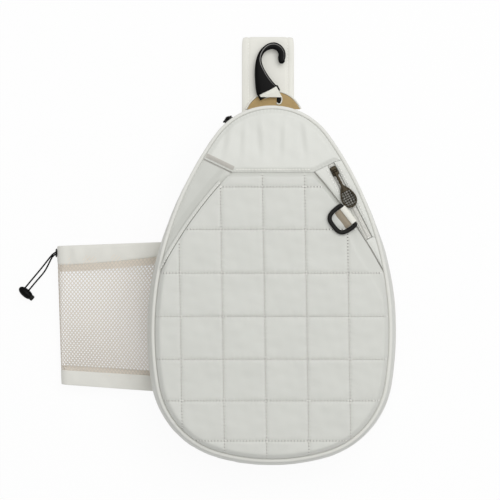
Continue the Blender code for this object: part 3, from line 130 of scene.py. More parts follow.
@dataclass(frozen=True)
class Shading:
    """The nodes of a material or of the world."""

    tree: bpy.types.NodeTree

    def feed(self, node: bpy.types.Node, name: str | int, value: Feed) -> None:
        """Link a node's input to a socket, or set it to a value.

        Args:
            node: The node.
            name: The input's name or place.
            value: The socket or the value.
        """
        if isinstance(value, Socket):
            self.tree.links.new(value, node.inputs[name])
        else:
            node.inputs[name].default_value = value

    def add(self, kind: str, *values: Feed, **named: Feed) -> bpy.types.Node:
        """Add a node.

        Args:
            kind: The node's type, without what all shader nodes start with.
            values: What its first inputs get, in order.
            named: What other inputs get, with _ for each blank in a name.

        Returns:
            The new node.
        """
        node = self.tree.nodes.new(f"ShaderNode{kind}")
        for place, value in enumerate(values):
            self.feed(node, place, value)
        for name, value in named.items():
            self.feed(node, name.replace("_", " "), value)
        return node

    def maths(self, operation: str, *values: Feed) -> Socket:
        """Add a sum on sockets and numbers.

        Args:
            operation: The kind of sum.
            values: What goes into it, in order.

        Returns:
            The socket of its result.
        """
        node = self.add("Math")
        node.operation = operation
        for place, value in enumerate(values):
            self.feed(node, place, value)
        return node.outputs[0]


@dataclass(frozen=True)
class Finish:
    """One surface: its colour, gloss, relief, the unevenness of its colour and painted shade in the relief's
    hollows.
    """

    name: str
    colour: tuple[float, ...]
    roughness: float
    grain: Grain
    pitch: float
    relief: float
    mottle: float = 0.02
    patch: float = 0.03
    # How much darker the grain's hollows are: painted shade.
    shade: float = 0.0
    specular: float = 0.5
    sheen: float = 0.0
    metal: float = 0.0
    gloss_range: float = 0.16

    def material(self) -> bpy.types.Material:
        """Build the finish once, and give the same one afterwards.

        Returns:
            The material, with colour and gloss from a soft noise and relief from the grain.
        """
        found = bpy.data.materials.get(self.name)
        if found is not None:
            return found
        made = bpy.data.materials.new(self.name)
        made.use_nodes = True
        nodes = Shading(made.node_tree)
        coords = nodes.add("TexCoord").outputs
        clouds = nodes.add("TexNoise", Vector=coords["Object"], Scale=1.0 / self.patch, Detail=4.0)
        noise = clouds.outputs["Fac"]
        height = self.height(nodes, coords["UV"])
        # The grain's low parts take the ramp's darker end: painted shade in the hollows, as deep as shade
        # sets.
        ramp = nodes.add("ValToRGB", nodes.maths("MULTIPLY_ADD", height, self.shade, noise))
        dark, light = ramp.color_ramp.elements
        dark.position, light.position = 0.3, 0.7 + self.shade
        for end, factor in ((dark, 1.0 - self.mottle - 0.5 * self.shade), (light, 1.0 + self.mottle)):
            end.color = (*(min(1.0, c * factor) for c in self.colour), 1.0)
        gloss = nodes.maths("MULTIPLY_ADD", noise, self.gloss_range, self.roughness - 0.5 * self.gloss_range)
        inputs = {
            "Base Color": ramp.outputs["Color"], "Roughness": gloss, "Metallic": self.metal,
            "Specular IOR Level": self.specular, "Sheen Weight": self.sheen,
            "Normal": nodes.add("Bump", Distance=self.relief, Height=height).outputs["Normal"],
        }
        for name, value in inputs.items():
            nodes.feed(made.node_tree.nodes["Principled BSDF"], name, value)
        return made

    def bands(self, nodes: Shading, source: Socket, direction: str, fine: float = 1.0) -> Socket:
        """Add even bands.

        Args:
            nodes: The material's nodes.
            source: The piece's UV map, in metres.
            direction: Which way the bands follow each other.
            fine: Their spacing as a share of the grain's.

        Returns:
            The socket of the bands' height.
        """
        wave = nodes.add("TexWave", source, Scale=2.0 * math.pi / (20.0 * fine * self.pitch), Distortion=0.4)
        wave.bands_direction = direction
        return wave.outputs["Fac"]

    def height(self, nodes: Shading, source: Socket) -> Socket:
        """Add the nodes of the grain.

        Args:
            nodes: The material's nodes.
            source: The piece's UV map, in metres.

        Returns:
            The socket of the relief's height, from about 0 to 1.
        """
        if self.grain is Grain.SATIN:
            return self.bands(nodes, source, "DIAGONAL")
        if self.grain in (Grain.WEAVE, Grain.RIB):
            fine, share = (0.5, 0.35) if self.grain is Grain.RIB else (1.0, 1.0)
            second = self.bands(nodes, source, "Y", fine)
            return nodes.maths("MULTIPLY_ADD", second, share, self.bands(nodes, source, "X"))
        if self.grain is Grain.KNIT:
            cells = nodes.add("TexVoronoi", source, Scale=1.0 / self.pitch, Randomness=0.15)
            return cells.outputs["Distance"]
        return nodes.add("TexNoise", source, Scale=1.0 / self.pitch, Detail=3.0).outputs["Fac"]


COVER = Finish("cover_cloth", tone(206, 207, 201), 0.5, Grain.COATED, 0.0010, 0.00007, 0.012, sheen=0.1)
SATIN = Finish("smooth_cover", tone(213, 214, 208), 0.42, Grain.SATIN, 0.0007, 0.00003, 0.012, sheen=0.1)
STRAP = Finish("strap_cover", tone(229, 228, 220), 0.5, Grain.COATED, 0.0010, 0.00006, 0.010, sheen=0.1)
HEM = Finish("hem_cloth", tone(221, 220, 213), 0.55, Grain.COATED, 0.0010, 0.00006, 0.012, sheen=0.1)
PAD = Finish("pad_knit", tone(213, 210, 202), 0.85, Grain.KNIT, 0.0034, 0.0006, 0.02, shade=0.15)
NET = Finish("net_yarn", tone(229, 222, 211), 0.8, Grain.WEAVE, 0.0006, 0.00010, 0.02)
# The back layer's yarn is lighter than the front's: painted light against the shade it lies in.
LIT_INNER_NET = Finish("inner_net_yarn_lit", tone(240, 235, 227), 0.8, Grain.WEAVE, 0.0006, 0.00010, 0.02)
WEBBING = Finish("woven_webbing", tone(233, 232, 223), 0.75, Grain.RIB, 0.0015, 0.00016, 0.015, shade=0.06)
PIPING = Finish("piping_cloth", tone(222, 222, 216), 0.55, Grain.WEAVE, 0.0005, 0.00004, 0.012)
TAN = Finish("tan_canvas", tone(191, 163, 113), 0.85, Grain.WEAVE, 0.0008, 0.00018, 0.05, shade=0.12)
# Darker brownish grey of the webbing below the key ring's bar: painted shade under its fold.
FLAP_SHADE = Finish("tab_flap_painted_shade", tone(172, 160, 140), 0.85, Grain.RIB, 0.0015, 0.00016, 0.04, shade=0.10)
# Darker grey of the facing strip above the left pocket: painted shade of the fold there.
SHADED_FACING = Finish("facing_painted_shade", tone(190, 187, 180), 0.7, Grain.WEAVE, 0.0006, 0.00005, 0.02)
BACKING = Finish("net_backing", tone(243, 234, 221), 0.8, Grain.WEAVE, 0.0006, 0.00010, 0.03)
# The panel behind the left pocket mouth is a shade darker than the cover: painted shade.
SHADED_MOUTH = Finish("mouth_cloth_shaded", tone(200, 201, 195), 0.5, Grain.SATIN, 0.0007, 0.00003, 0.02, sheen=0.1)
# Dark grey of the bands in the seam gaps: painted shadow.
SEAM_SHADOW = Finish("painted_seam_shadow", tone(184, 182, 176), 0.8, Grain.WEAVE, 0.0005, 0.00005, 0.03)
TAPE = Finish("tape_weave", tone(222, 221, 215), 0.8, Grain.RIB, 0.0008, 0.00010, 0.02, shade=0.06)
TEETH = Finish("zip_teeth", tone(226, 225, 219), 0.4, Grain.MOULDED, 0.0010, 0.00002, 0.02)
THREAD = Finish("sewing_thread", tone(250, 249, 244), 0.7, Grain.WEAVE, 0.0004, 0.00005, 0.02)
# Near black of the needle holes: painted shade of the pits that the thread pulls into the cloth.
HOLE_SHADE = Finish("needle_hole_shade", tone(98, 96, 91), 0.8, Grain.WEAVE, 0.0004, 0.00005, 0.02)
LINING = Finish("lining_cloth", tone(217, 214, 206), 0.7, Grain.WEAVE, 0.0005, 0.00005, 0.02, shade=0.05)
GLOSS = Finish("gloss_black", tone(9, 9, 9), 0.32, Grain.MOULDED, 0.0012, 0.00002, 0.15, specular=0.05)
# Light grey of the hook's raised line: a painted highlight on the black plastic.
GLINT = Finish("painted_highlight", tone(128, 127, 124), 0.3, Grain.MOULDED, 0.0012, 0.00002, 0.10, specular=0.3)
MATT = Finish("matt_black", tone(24, 23, 21), 0.5, Grain.MOULDED, 0.0008, 0.00004, 0.15, specular=0.12)
CORD = Finish("braided_cord", tone(20, 20, 20), 0.8, Grain.WEAVE, 0.0011, 0.00020, 0.2, specular=0.1)
METAL = Finish("cast_metal", tone(52, 47, 38), 0.36, Grain.MOULDED, 0.0009, 0.00002, 0.12, metal=1.0)
STEEL = Finish("spring_wire", tone(150, 148, 142), 0.35, Grain.MOULDED, 0.0009, 0.00002, 0.05, metal=1.0)


def levels(node: str) -> Pair:
    """Lowest and highest level of a CAD node."""
    low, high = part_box(node)
    return low.z, high.z


def unit(vectors: Array) -> Array:
    """Scale vectors to length one."""
    return vectors / np.maximum(np.linalg.norm(vectors, axis=-1, keepdims=True), 1e-12)


def smooth(share: Array) -> Array:
    """Ease a share from 0 to 1: three times its square less twice its cube."""
    held = np.clip(share, 0.0, 1.0)
    return held * held * (3.0 - 2.0 * held)


def power_wave(values: Array, power: float) -> Array:
    """Raise the size of each value to a power and keep its sign."""
    return np.sign(values) * np.abs(values) ** power


def circle(count: int) -> Array:
    """Even angles round a full turn."""
    return np.linspace(0.0, 2.0 * math.pi, count, endpoint=False)


def spokes(turn: Array) -> Array:
    """Flat directions at angles: cosine and sine."""
    return np.column_stack([np.cos(turn), np.sin(turn)])


def left_of(way: Array) -> Array:
    """Flat directions, turned a quarter to the left."""
    return np.column_stack([-way[:, 1], way[:, 0]])


def at_level(flat: Array, z: Array | float) -> Array:
    """Flat points, lifted to a height or to one each."""
    return np.concatenate([flat, np.broadcast_to(z, flat.shape[:-1])[..., None]], axis=-1)


def distances(line: Array) -> Array:
    """Distance along a line to each of its points."""
    return np.append(0.0, np.cumsum(np.linalg.norm(np.diff(line, axis=0), axis=1)))


def gap_to(x: Array, y: Array, spots: Array) -> Array:
    """Distance from places to the nearest of some points."""
    return np.hypot(x[..., None] - spots[:, 0], y[..., None] - spots[:, 1]).min(axis=-1)


def ripples(x: Array, y: Array, length: float, seed: int) -> Array:
    """Soft unevenness: a sum of seven sine waves in random directions.

    Args:
        x: Places across.
        y: Places up.
        length: About how long the waves are.
        seed: Picks the waves.

    Returns:
        Heights of about one.
    """
    count = 7
    draw = np.random.default_rng(seed)
    angles, phases = draw.uniform(0.0, 2.0 * math.pi, (2, count))
    scales = length * draw.uniform(0.7, 1.5, count)
    total = np.zeros(np.broadcast(x, y).shape)
    for angle, phase, scale in zip(angles, phases, scales):
        total += np.sin((x * math.cos(angle) + y * math.sin(angle)) * 2.0 * math.pi / scale + phase)
    return total / math.sqrt(count)


def resample(points: Array, count: int, closed: bool = False) -> Array:
    """Space points evenly along a line.

    Args:
        points: The line.
        count: How many points to give.
        closed: Whether the line ends where it starts.

    Returns:
        The new points.
    """
    line = np.vstack([points, points[:1]]) if closed else points
    run = distances(line)
    marks = np.linspace(0.0, run[-1], count + closed)[:count]
    return np.column_stack([np.interp(marks, run, column) for column in line.T])


def inset(outline: Array, distance: float) -> Array:
    """Shrink a counter-clockwise outline: each point moves to the left of its heading."""
    return outline + distance * left_of(headings(outline, True))


def depth_inside(x: Array, y: Array, line: Array) -> Array:
    """How far places are to the left of a line.

    Args:
        x: Places across.
        y: Places up.
        line: A convex counter-clockwise line.

    Returns:
        The least distance to the left of its segments.
    """
    start, way = line[:-1], unit(np.diff(line, axis=0))
    across = way[:, 0] * (y[..., None] - start[:, 1]) - way[:, 1] * (x[..., None] - start[:, 0])
    return across.min(axis=-1)


def hermite(points: Array, step: float) -> Array:
    """Even points on a smooth curve through given points.

    Args:
        points: The points, one a row; columns past the third are carried along.
        step: Distance between the points of the result.

    Returns:
        Points of a cubic whose tangents are held to the shorter neighbouring chord.
    """
    run = distances(points)
    lengths = np.diff(run)
    shorter = np.minimum(np.append(lengths, lengths[-1]), np.insert(lengths, 0, lengths[0]))
    pull = np.gradient(points, run, axis=0) * shorter[:, None]
    marks = np.linspace(0.0, run[-1], 32 * len(points))
    k = np.clip(np.searchsorted(run, marks, "right") - 1, 0, len(points) - 2)
    t = ((marks - run[k]) / lengths[k])[:, None]
    curve = points[k] * (1.0 + 2.0 * t) * (1.0 - t) ** 2 + pull[k] * t * (1.0 - t) ** 2
    curve += points[k + 1] * t**2 * (3.0 - 2.0 * t) + pull[k + 1] * t**2 * (t - 1.0)
    return resample(curve, max(2, round(run[-1] / step)) + 1)


@dataclass
class Surface:
    """Points, faces and face-corner UVs of a mesh, all in metres."""

    points: Array
    quads: Array
    quad_uv: Array
    tris: Array
    tri_uv: Array

    @classmethod
    def joined(cls, parts: list["Surface"]) -> "Surface":
        """Put surfaces into one mesh.

        Args:
            parts: The surfaces.

        Returns:
            All of them, with the faces' indices counted on.
        """
        shifts = np.cumsum([0, *(len(p.points) for p in parts[:-1])])
        rows = [(p.points, p.quads + s, p.quad_uv, p.tris + s, p.tri_uv) for p, s in zip(parts, shifts)]
        return cls(*(np.concatenate(column) for column in zip(*rows)))

    def outward(self) -> "Surface":
        """Turn every face round where the enclosed volume comes out negative.

        Returns:
            The surface itself.
        """
        fans = [self.quads[:, [0, 1, 2]], self.quads[:, [0, 2, 3]], self.tris]
        a, b, c = (self.points[np.concatenate(fans)[:, k]] for k in range(3))
        if np.einsum("ij,ij->", a, np.cross(b, c)) < 0.0:
            self.quads, self.quad_uv = self.quads[:, ::-1], self.quad_uv[:, ::-1]
            self.tris, self.tri_uv = self.tris[:, ::-1], self.tri_uv[:, ::-1]
        return self

    def moved(self, shift: Triple) -> "Surface":
        """The surface at another place."""
        return replace(self, points=self.points + np.array(shift))

    def mesh(self, name: str) -> bpy.types.Mesh:
        """Make a smooth mesh with a UV map, and log it.

        Args:
            name: Its name.

        Returns:
            The mesh.
        """
        mesh = bpy.data.meshes.new(name)
        mesh.from_pydata(self.points.tolist(), [], self.quads.tolist() + self.tris.tolist())
        layer = mesh.uv_layers.new(name="surface")
        layer.data.foreach_set("uv", np.concatenate([self.quad_uv.ravel(), self.tri_uv.ravel()]))
        mesh.shade_smooth()
        mesh.set_sharp_from_angle(angle=SHARP)
        LOG.info("%s: %d faces", name, len(mesh.polygons))
        return mesh


@dataclass(frozen=True)
class Place:
    """A local frame: an origin and three axes."""

    origin: Array
    x: Array
    y: Array
    z: Array

    @classmethod
    def of(cls, origin: Array, x: list[float], y: list[float]) -> "Place":
        """Frame from an origin and two axes at right angles."""
        x, y = unit(np.array(x)), unit(np.array(y))
        return cls(origin, x, y, np.cross(x, y))

    def put(self, surface: Surface) -> Surface:
        """Take a local surface to the bag's frame."""
        a, b, c = (surface.points[:, k:k + 1] for k in range(3))
        return replace(surface, points=self.origin + (a * self.x + b * self.y + c * self.z))


def skin(points: Array, loop_rows: bool = False, planar: bool = False) -> Surface:
    """Cover a grid of points, whose columns close on themselves, with quads.

    Args:
        points: The grid, as rows, columns and coordinates.
        loop_rows: Whether the last row joins the first; open ends are closed with fans.
        planar: Whether the UV map is x and y instead of distances along the grid.

    Returns:
        A closed surface whose faces point out.
    """
    rows, columns = points.shape[:2]
    flat = points.reshape(-1, 3)
    index = np.arange(rows * columns).reshape(rows, columns)
    if loop_rows:
        index = np.vstack([index, index[:1]])
    index = np.hstack([index, index[:, :1]])
    spots = flat[index]
    uv = spots[..., :2]
    if not planar:
        steps = [np.linalg.norm(np.diff(spots, axis=k), axis=2).mean(axis=1 - k) for k in (0, 1)]
        uv = np.stack(np.meshgrid(*(np.append(0.0, np.cumsum(s)) for s in steps), indexing="ij"), axis=-1)

    def corners(grid: Array) -> Array:
        """Values of a grid at the four corners of each quad."""
        return np.stack([grid[:-1, :-1], grid[1:, :-1], grid[1:, 1:], grid[:-1, 1:]], axis=2)

    quads, quad_uv = corners(index).reshape(-1, 4), corners(uv).reshape(-1, 4, 2)
    tris, tri_uv = np.zeros((0, 3), int), np.zeros((0, 3, 2))
    if not loop_rows:
        middles = np.stack([points[0].mean(axis=0), points[-1].mean(axis=0)])
        for k, (row, marks) in enumerate(((index[0], uv[0]), (index[-1, ::-1], uv[-1, ::-1]))):
            hub = np.full(len(row) - 1, rows * columns + k)
            hub_uv = np.tile(middles[k, :2], (len(hub), 1)) if planar else 0.5 * (marks[:-1] + marks[1:])
            tris = np.concatenate([tris, np.stack([hub, row[:-1], row[1:]], axis=1)])
            tri_uv = np.concatenate([tri_uv, np.stack([hub_uv, marks[:-1], marks[1:]], axis=1)])
        flat = np.vstack([flat, middles])
    return Surface(flat, quads, quad_uv, tris, tri_uv).outward()


def sweep(path: Array, side: Array, up: Array, profile: Array, closed: bool = False) -> Surface:
    """Carry a closed profile along a path: each row is path + a times side + b times up.

    Args:
        path: Points of the path.
        side: Direction of the profile's first coordinate, one for all points or one each.
        up: Direction of its second coordinate.
        profile: The profile, the same for all points or one for each.
        closed: Whether the path ends where it starts.

    Returns:
        The swept surface, closed at its ends.
    """
    side, up = np.broadcast_to(side, path.shape), np.broadcast_to(up, path.shape)
    shape = np.broadcast_to(profile, (len(path), *profile.shape[-2:]))
    points = path[:, None] + shape[..., :1] * side[:, None] + shape[..., 1:] * up[:, None]
    return skin(points, loop_rows=closed)


def headings(path: Array, closed: bool = False) -> Array:
    """Directions along a path, of length one: from the point before to the point after."""
    ahead = np.roll(path, -1, axis=0) - np.roll(path, 1, axis=0) if closed else np.gradient(path, axis=0)
    return unit(ahead)


def upright(line: Array, x: float = 0.0) -> tuple[Array, Array]:
    """Stand a line of Y and Z in a plane across X: its path, and its normals to the left."""
    path = np.column_stack([np.full(len(line), x), line])
    return path, np.cross(EAST, headings(path))


def rounded(width: float, height: float, power: float, count: int) -> Array:
    """Profile of a rounded rectangle: a superellipse of the given power."""
    ring = spokes(circle(count) + math.pi / count)
    return power_wave(ring, 2.0 / power) * np.array([0.5 * width, 0.5 * height])


def pebble(size: Triple, power: float, rows: int, columns: int) -> Surface:
    """A block with round edges: a superellipsoid.

    Args:
        size: Its size along the axes.
        power: How square it is, from 2 for an ellipsoid.
        rows: Rows of points from bottom to top.
        columns: Points round each row.

    Returns:
        The block, round the origin.
    """
    rise = np.linspace(-0.5, 0.5, rows + 2)[1:-1, None] * math.pi
    flat = rounded(size[0], size[1], power, columns) * power_wave(np.cos(rise), 2.0 / power)[..., None]
    return skin(at_level(flat, 0.5 * size[2] * power_wave(np.sin(rise), 2.0 / power)))


def rod(start: Array, end: Array, radius: float, sides: int = 14) -> Surface:
    """A round bar between two points, neither of which is straight above the other.

    Args:
        start: One end.
        end: The other.
        radius: Its radius.
        sides: Points round it.

    Returns:
        The bar: circles along its line, drawn in at both ends.
    """
    way = unit(end - start)
    side = unit(np.cross(way, UP))
    marks = 0.5 * radius * np.array([0.0, 0.3, 1.0])
    runs = np.concatenate([marks, np.linalg.norm(end - start) - marks[::-1]])
    widths = np.array([0.6, 0.85, 1.0, 1.0, 0.85, 0.6])[:, None, None]
    return sweep(start + runs[:, None] * way, side, np.cross(side, way),
                 rounded(2.0 * radius, 2.0 * radius, 2.0, sides) * widths)


def bar(run: Array, widths: Array, heights: Array, power: float, count: int, x: float = 0.0,
        z: float = 0.0) -> Surface:
    """A straight bar along Y at x and z, with a rounded profile of its own at each place."""
    shape = np.stack([rounded(w, h, power, count) for w, h in zip(widths, heights)])
    return sweep(np.column_stack([np.full(len(run), x), run, np.full(len(run), z)]), EAST, UP, shape)


def patch(outline: Array, centre: Pair, top: Height | float, bottom: Height | float,
          rings: int, under: int) -> Surface:
    """A panel over a star-shaped outline, worked out on rings round a centre.

    Args:
        outline: Flat points round the panel.
        centre: A flat point that sees the whole outline.
        top: Height of the upper face, one for all or as a function of x and y.
        bottom: Height of the lower face.
        rings: Rings on the upper face; the outer ones are closer together.
        under: Rings on the lower face.

    Returns:
        The closed panel: upper rings from the centre to the edge, then lower rings back.
    """
    least = 0.012
    shares = np.concatenate([np.linspace(least, 0.97, rings - 3), [0.98, 0.99, 1.0]])
    faces = []
    for spread, height in ((shares, top), (np.linspace(1.0, least, under), bottom)):
        flat = np.array(centre) + spread[:, None, None] * (outline - np.array(centre))
        faces.append(at_level(flat, height(flat[..., 0], flat[..., 1]) if callable(height) else height))
    return skin(np.concatenate(faces), planar=True)


def scatter(small: Surface, places: Array, x: Array, y: Array, z: Array) -> Surface:
    """Copy a small surface to many frames at once.

    Args:
        small: The surface.
        places: The frames' origins.
        x: Their X axes, one for all or one each.
        y: Their Y axes.
        z: Their Z axes.

    Returns:
        All copies as one surface.
    """
    x, y, z = (np.broadcast_to(axis, places.shape)[:, None] for axis in (x, y, z))
    local, count = small.points[None], len(places)
    points = places[:, None] + local[..., :1] * x + local[..., 1:2] * y + local[..., 2:] * z
    shift = (np.arange(count) * len(small.points))[:, None, None]
    return Surface(
        points.reshape(-1, 3), (small.quads + shift).reshape(-1, 4), np.tile(small.quad_uv, (count, 1, 1)),
        (small.tris + shift).reshape(-1, 3), np.tile(small.tri_uv, (count, 1, 1)),
    )


@dataclass(frozen=True)
class Stitching:
    """A row of sewn stitches: dashes with rounded ends that dip into the cloth."""

    length: float = 0.0026
    gap: float = 0.0012
    radius: float = 0.00055
    hole: float = 0.0014

    def dash(self) -> Surface:
        """One stitch along local X: a thin rod whose ends bend down.

        Returns:
            The stitch, round the origin.
        """
        dips = self.radius * np.array([-0.9, 0.2, 0.2, -0.9])
        path = np.column_stack([self.length * np.array([-0.5, -0.32, 0.32, 0.5]), np.zeros(4), dips])
        widths = np.array([0.5, 1.0, 1.0, 0.5])[:, None, None]
        return sweep(path, NORTH, UP, rounded(2.0 * self.radius, 2.0 * self.radius, 2.0, 6) * widths)

    def along(self, path: Array, up: Array = UP) -> tuple[Surface, Surface]:
        """Sew along a path.

        Args:
            path: Points that lie on the cloth.
            up: Direction out of the cloth, one for all points or one each.

        Returns:
            The stitches, and small flat dark beads between them: painted shade of the needle holes.
        """
        count = max(2, round(distances(path)[-1] / (self.length + self.gap)))
        fine = resample(np.hstack([path, np.broadcast_to(up, path.shape)]), 2 * count + 1)
        way = unit(fine[2::2, :3] - fine[:-1:2, :3])
        side = unit(np.cross(unit(fine[1::2, 3:]), way))
        axes = (way, side, np.cross(way, side))
        bead = pebble((self.hole, self.hole, 0.5 * self.hole), 2.0, 3, 6)
        return scatter(self.dash(), fine[1::2, :3], *axes), scatter(bead, fine[:-1:2, :3], *axes)


SEWN = Stitching()


def add_piece(name: str, shape: Surface | bpy.types.Curve, finish: Finish, body: Body | None, slot: Slot,
              *nodes: str) -> bpy.types.Object:
    """Put a surface or a curve into the scene as a piece.

    Args:
        name: The piece's name.
        shape: Its form, in the bag's frame.
        finish: Its finish.
        body: The body that it rides on, or none for a piece that bends between two.
        slot: The record's slot that its finish belongs to; not used.
        nodes: The CAD nodes that it stands for.

    Returns:
        The new object.
    """
    data = shape.mesh(name) if isinstance(shape, Surface) else shape
    data.materials.append(finish.material())
    item = bpy.data.objects.new(name, data)
    bpy.context.scene.collection.objects.link(item)
    if body is not None:
        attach(item, body.value)
    if nodes:
        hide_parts(*nodes)
    return item


def sew(name: str, rows: list[tuple[Surface, Surface]], body: Body, slot: Slot, hole_shade: bool = False) -> None:
    """Put rows of stitches into the scene.

    Args:
        name: What the pieces' names start with.
        rows: Stitches and dark beads of painted needle-hole shade of each row.
        body: The body that they ride on.
        slot: The record's slot of the cloth.
        hole_shade: Whether the dark beads of painted needle-hole shade show.
    """
    kinds = (("thread", THREAD), ("hole_shade", HOLE_SHADE))
    for k, (kind, finish) in enumerate(kinds[:1 + hole_shade]):
        add_piece(f"{name}_{kind}", Surface.joined([row[k] for row in rows]), finish, body, slot)


def redress(node: str, finish: Finish) -> None:
    """Give a CAD node that stays in view a finish of its own.

    Args:
        node: The node.
        finish: The finish.
    """
    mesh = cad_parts[node].data
    mesh.materials.clear()
    mesh.materials.append(finish.material())
    LOG.info("%s: kept, with %s", node, finish.name)


@dataclass(frozen=True)
class Egg:
    """The bag's outline: four tangent arcs up its right side, mirrored to the left."""

    half: float = 0.1404
    top: float = 0.2676
    bottom: float = 0.1524
    top_radius: float = 0.080
    corner_radius: float = 0.100
    bottom_radius: float = 0.232

    @cached_property
    def arcs(self) -> tuple[Array, Array, Array, Array]:
        """Lay out the arcs, each tangent to the next.

        Returns:
            Their centres, radii, start angles and end angles, from the bottom up.
        """
        rise = self.top - self.top_radius
        side_radius = (self.half**2 + rise**2 - self.top_radius**2) / (2.0 * (self.half - self.top_radius))
        top = np.array([0.0, rise])
        side = np.array([self.half - side_radius, 0.0])
        bottom = np.array([0.0, self.bottom_radius - self.bottom])
        near, far = side_radius - self.corner_radius, self.bottom_radius - self.corner_radius
        gap = bottom - side
        span = np.linalg.norm(gap)
        along = (near**2 - far**2 + span**2) / (2.0 * span)
        way = gap / span
        corner = side + along * way + math.sqrt(near**2 - along**2) * np.array([way[1], -way[0]])
        turns = [math.atan2(v[1], v[0]) for v in (corner - bottom, corner - side, top - side)]
        centres = np.array([bottom, corner, side, top])
        radii = np.array([self.bottom_radius, self.corner_radius, side_radius, self.top_radius])
        quarter = 0.5 * math.pi
        return centres, radii, np.array([-quarter, *turns]), np.array([*turns, quarter])

    @cached_property
    def ends(self) -> Array:
        """Distance from the lowest point to the end of each arc."""
        _, radii, start, end = self.arcs
        return np.cumsum(radii * (end - start))

    @property
    def girth(self) -> float:
        """Length of the whole outline."""
        return 2.0 * float(self.ends[-1])

    def along(self, run: Array, offset: float = 0.0) -> tuple[Array, Array]:
        """Follow the outline from its lowest point up the right side.

        Args:
            run: Distances along the outline; negative ones go up the left side.
            offset: How far outside the outline the points are.

        Returns:
            Flat points and outward directions.
        """
        centres, radii, start, _ = self.arcs
        run = np.mod(run, self.girth)
        right = run <= self.ends[-1]
        near = np.where(right, run, self.girth - run)
        k = np.clip(np.searchsorted(self.ends, near), 0, 3)
        way = spokes(start[k] + (near - (self.ends - np.diff(self.ends, prepend=0.0))[k]) / radii[k])
        mirror = np.column_stack([np.where(right, 1.0, -1.0), np.ones(len(near))])
        flat = (centres[k] + radii[k][:, None] * way) * mirror
        return flat + offset * way * mirror, way * mirror

    def run_at(self, y: float) -> float:
        """Find a height on the right side.

        Args:
            y: The height.

        Returns:
            The distance along the outline to it.
        """
        centres, radii, _, end = self.arcs
        k = min(int(np.searchsorted(centres[:, 1] + radii * np.sin(end), y)), 3)
        angle = math.asin((y - centres[k, 1]) / radii[k])
        return float(self.ends[k] - radii[k] * (end[k] - angle))

    def left_run(self, y: float) -> float:
        """Distance along the outline to a height on the left side."""
        return self.girth - self.run_at(y)

    def half_width(self, y: Array | float, offset: float = 0.0) -> Array:
        """Measure across the outline.

        Args:
            y: Heights.
            offset: How far outside the outline to measure.

        Returns:
            Half the width at each height.
        """
        centres, radii, _, end = self.arcs
        reach = radii + offset
        k = np.clip(np.searchsorted(centres[:, 1] + reach * np.sin(end), y), 0, 3)
        return centres[k, 0] + np.sqrt(np.maximum(reach[k] ** 2 - (y - centres[k, 1]) ** 2, 0.0))


EGG = Egg()


@dataclass
class Studio:
    """Camera straight above, one soft lamp at the upper right, and a pale floor."""

    eye: Triple = (-0.0264, 0.0984, 2.295)
    focal: float = 132.0
    sensor: float = 36.0
    sky: float = 0.58
    lamp_place: Triple = (0.55, 0.85, 2.3)
    lamp_power: float = 30.0
    lamp_size: float = 1.8
    floor_half: float = 3.0
    floor_level: float = -0.0006
    floor_grey: float = 0.9
    floor_shade: float = 0.07

    def build(self) -> None:
        """Set up the camera, the light and the floor."""
        scene = bpy.context.scene
        scene.view_settings.view_transform = "Standard"
        camera = bpy.data.objects.new("camera", bpy.data.cameras.new("camera"))
        camera.data.lens, camera.data.sensor_width = self.focal, self.sensor
        camera.location = self.eye
        lamp = bpy.data.objects.new("lamp", bpy.data.lights.new("lamp", "AREA"))
        lamp.data.energy, lamp.data.size = self.lamp_power, self.lamp_size
        lamp.location = self.lamp_place
        aim = Vector(self.lamp_place) - Vector((*self.eye[:2], 0.0))
        lamp.rotation_euler = aim.to_track_quat("Z", "Y").to_euler()
        for item in (camera, lamp):
            scene.collection.objects.link(item)
        scene.camera = camera
        self.light_world()
        self.lay_floor()

    @staticmethod
    def seen(nodes: Shading) -> Socket:
        """Tell the rays that show the background.

        Args:
            nodes: The nodes of the floor or of the world.

        Returns:
            A socket with 1 for camera, glossy and transmission rays, and 0 for the rest.
        """
        rays = nodes.add("LightPath").outputs
        total = nodes.maths("MAXIMUM", rays["Is Camera Ray"], rays["Is Glossy Ray"])
        return nodes.maths("MAXIMUM", total, rays["Is Transmission Ray"])

    def light_world(self) -> None:
        """Even grey light from all round, which the camera sees as white."""
        world = bpy.data.worlds.new("studio")
        bpy.context.scene.world = world
        world.use_nodes = True
        nodes = Shading(world.node_tree)
        level = nodes.add("MapRange", Value=self.seen(nodes), To_Min=self.sky, To_Max=1.0)
        background = world.node_tree.nodes["Background"]
        nodes.feed(background, "Color", (1.0, 1.0, 1.0, 1.0))
        nodes.feed(background, "Strength", level.outputs["Result"])

    def lay_floor(self) -> None:
        """White floor that keeps a part of the bag's shadow."""
        mesh = bpy.data.meshes.new("floor")
        corners = self.floor_half * np.array([[-1.0, -1.0], [1.0, -1.0], [1.0, 1.0], [-1.0, 1.0]])
        mesh.from_pydata(at_level(corners, self.floor_level).tolist(), [], [(0, 1, 2, 3)])
        paint = bpy.data.materials.new("floor")
        paint.use_nodes = True
        paint.node_tree.nodes.clear()
        nodes = Shading(paint.node_tree)
        plain = nodes.add("BsdfDiffuse", (*[self.floor_grey] * 3, 1.0)).outputs[0]
        white = nodes.add("Emission").outputs[0]
        shown = nodes.add("MixShader", self.floor_shade, white, plain).outputs[0]
        nodes.add("OutputMaterial", nodes.add("MixShader", self.seen(nodes), plain, shown).outputs[0])
        mesh.materials.append(paint)
        floor = bpy.data.objects.new("floor", mesh)
        bpy.context.scene.collection.objects.link(floor)


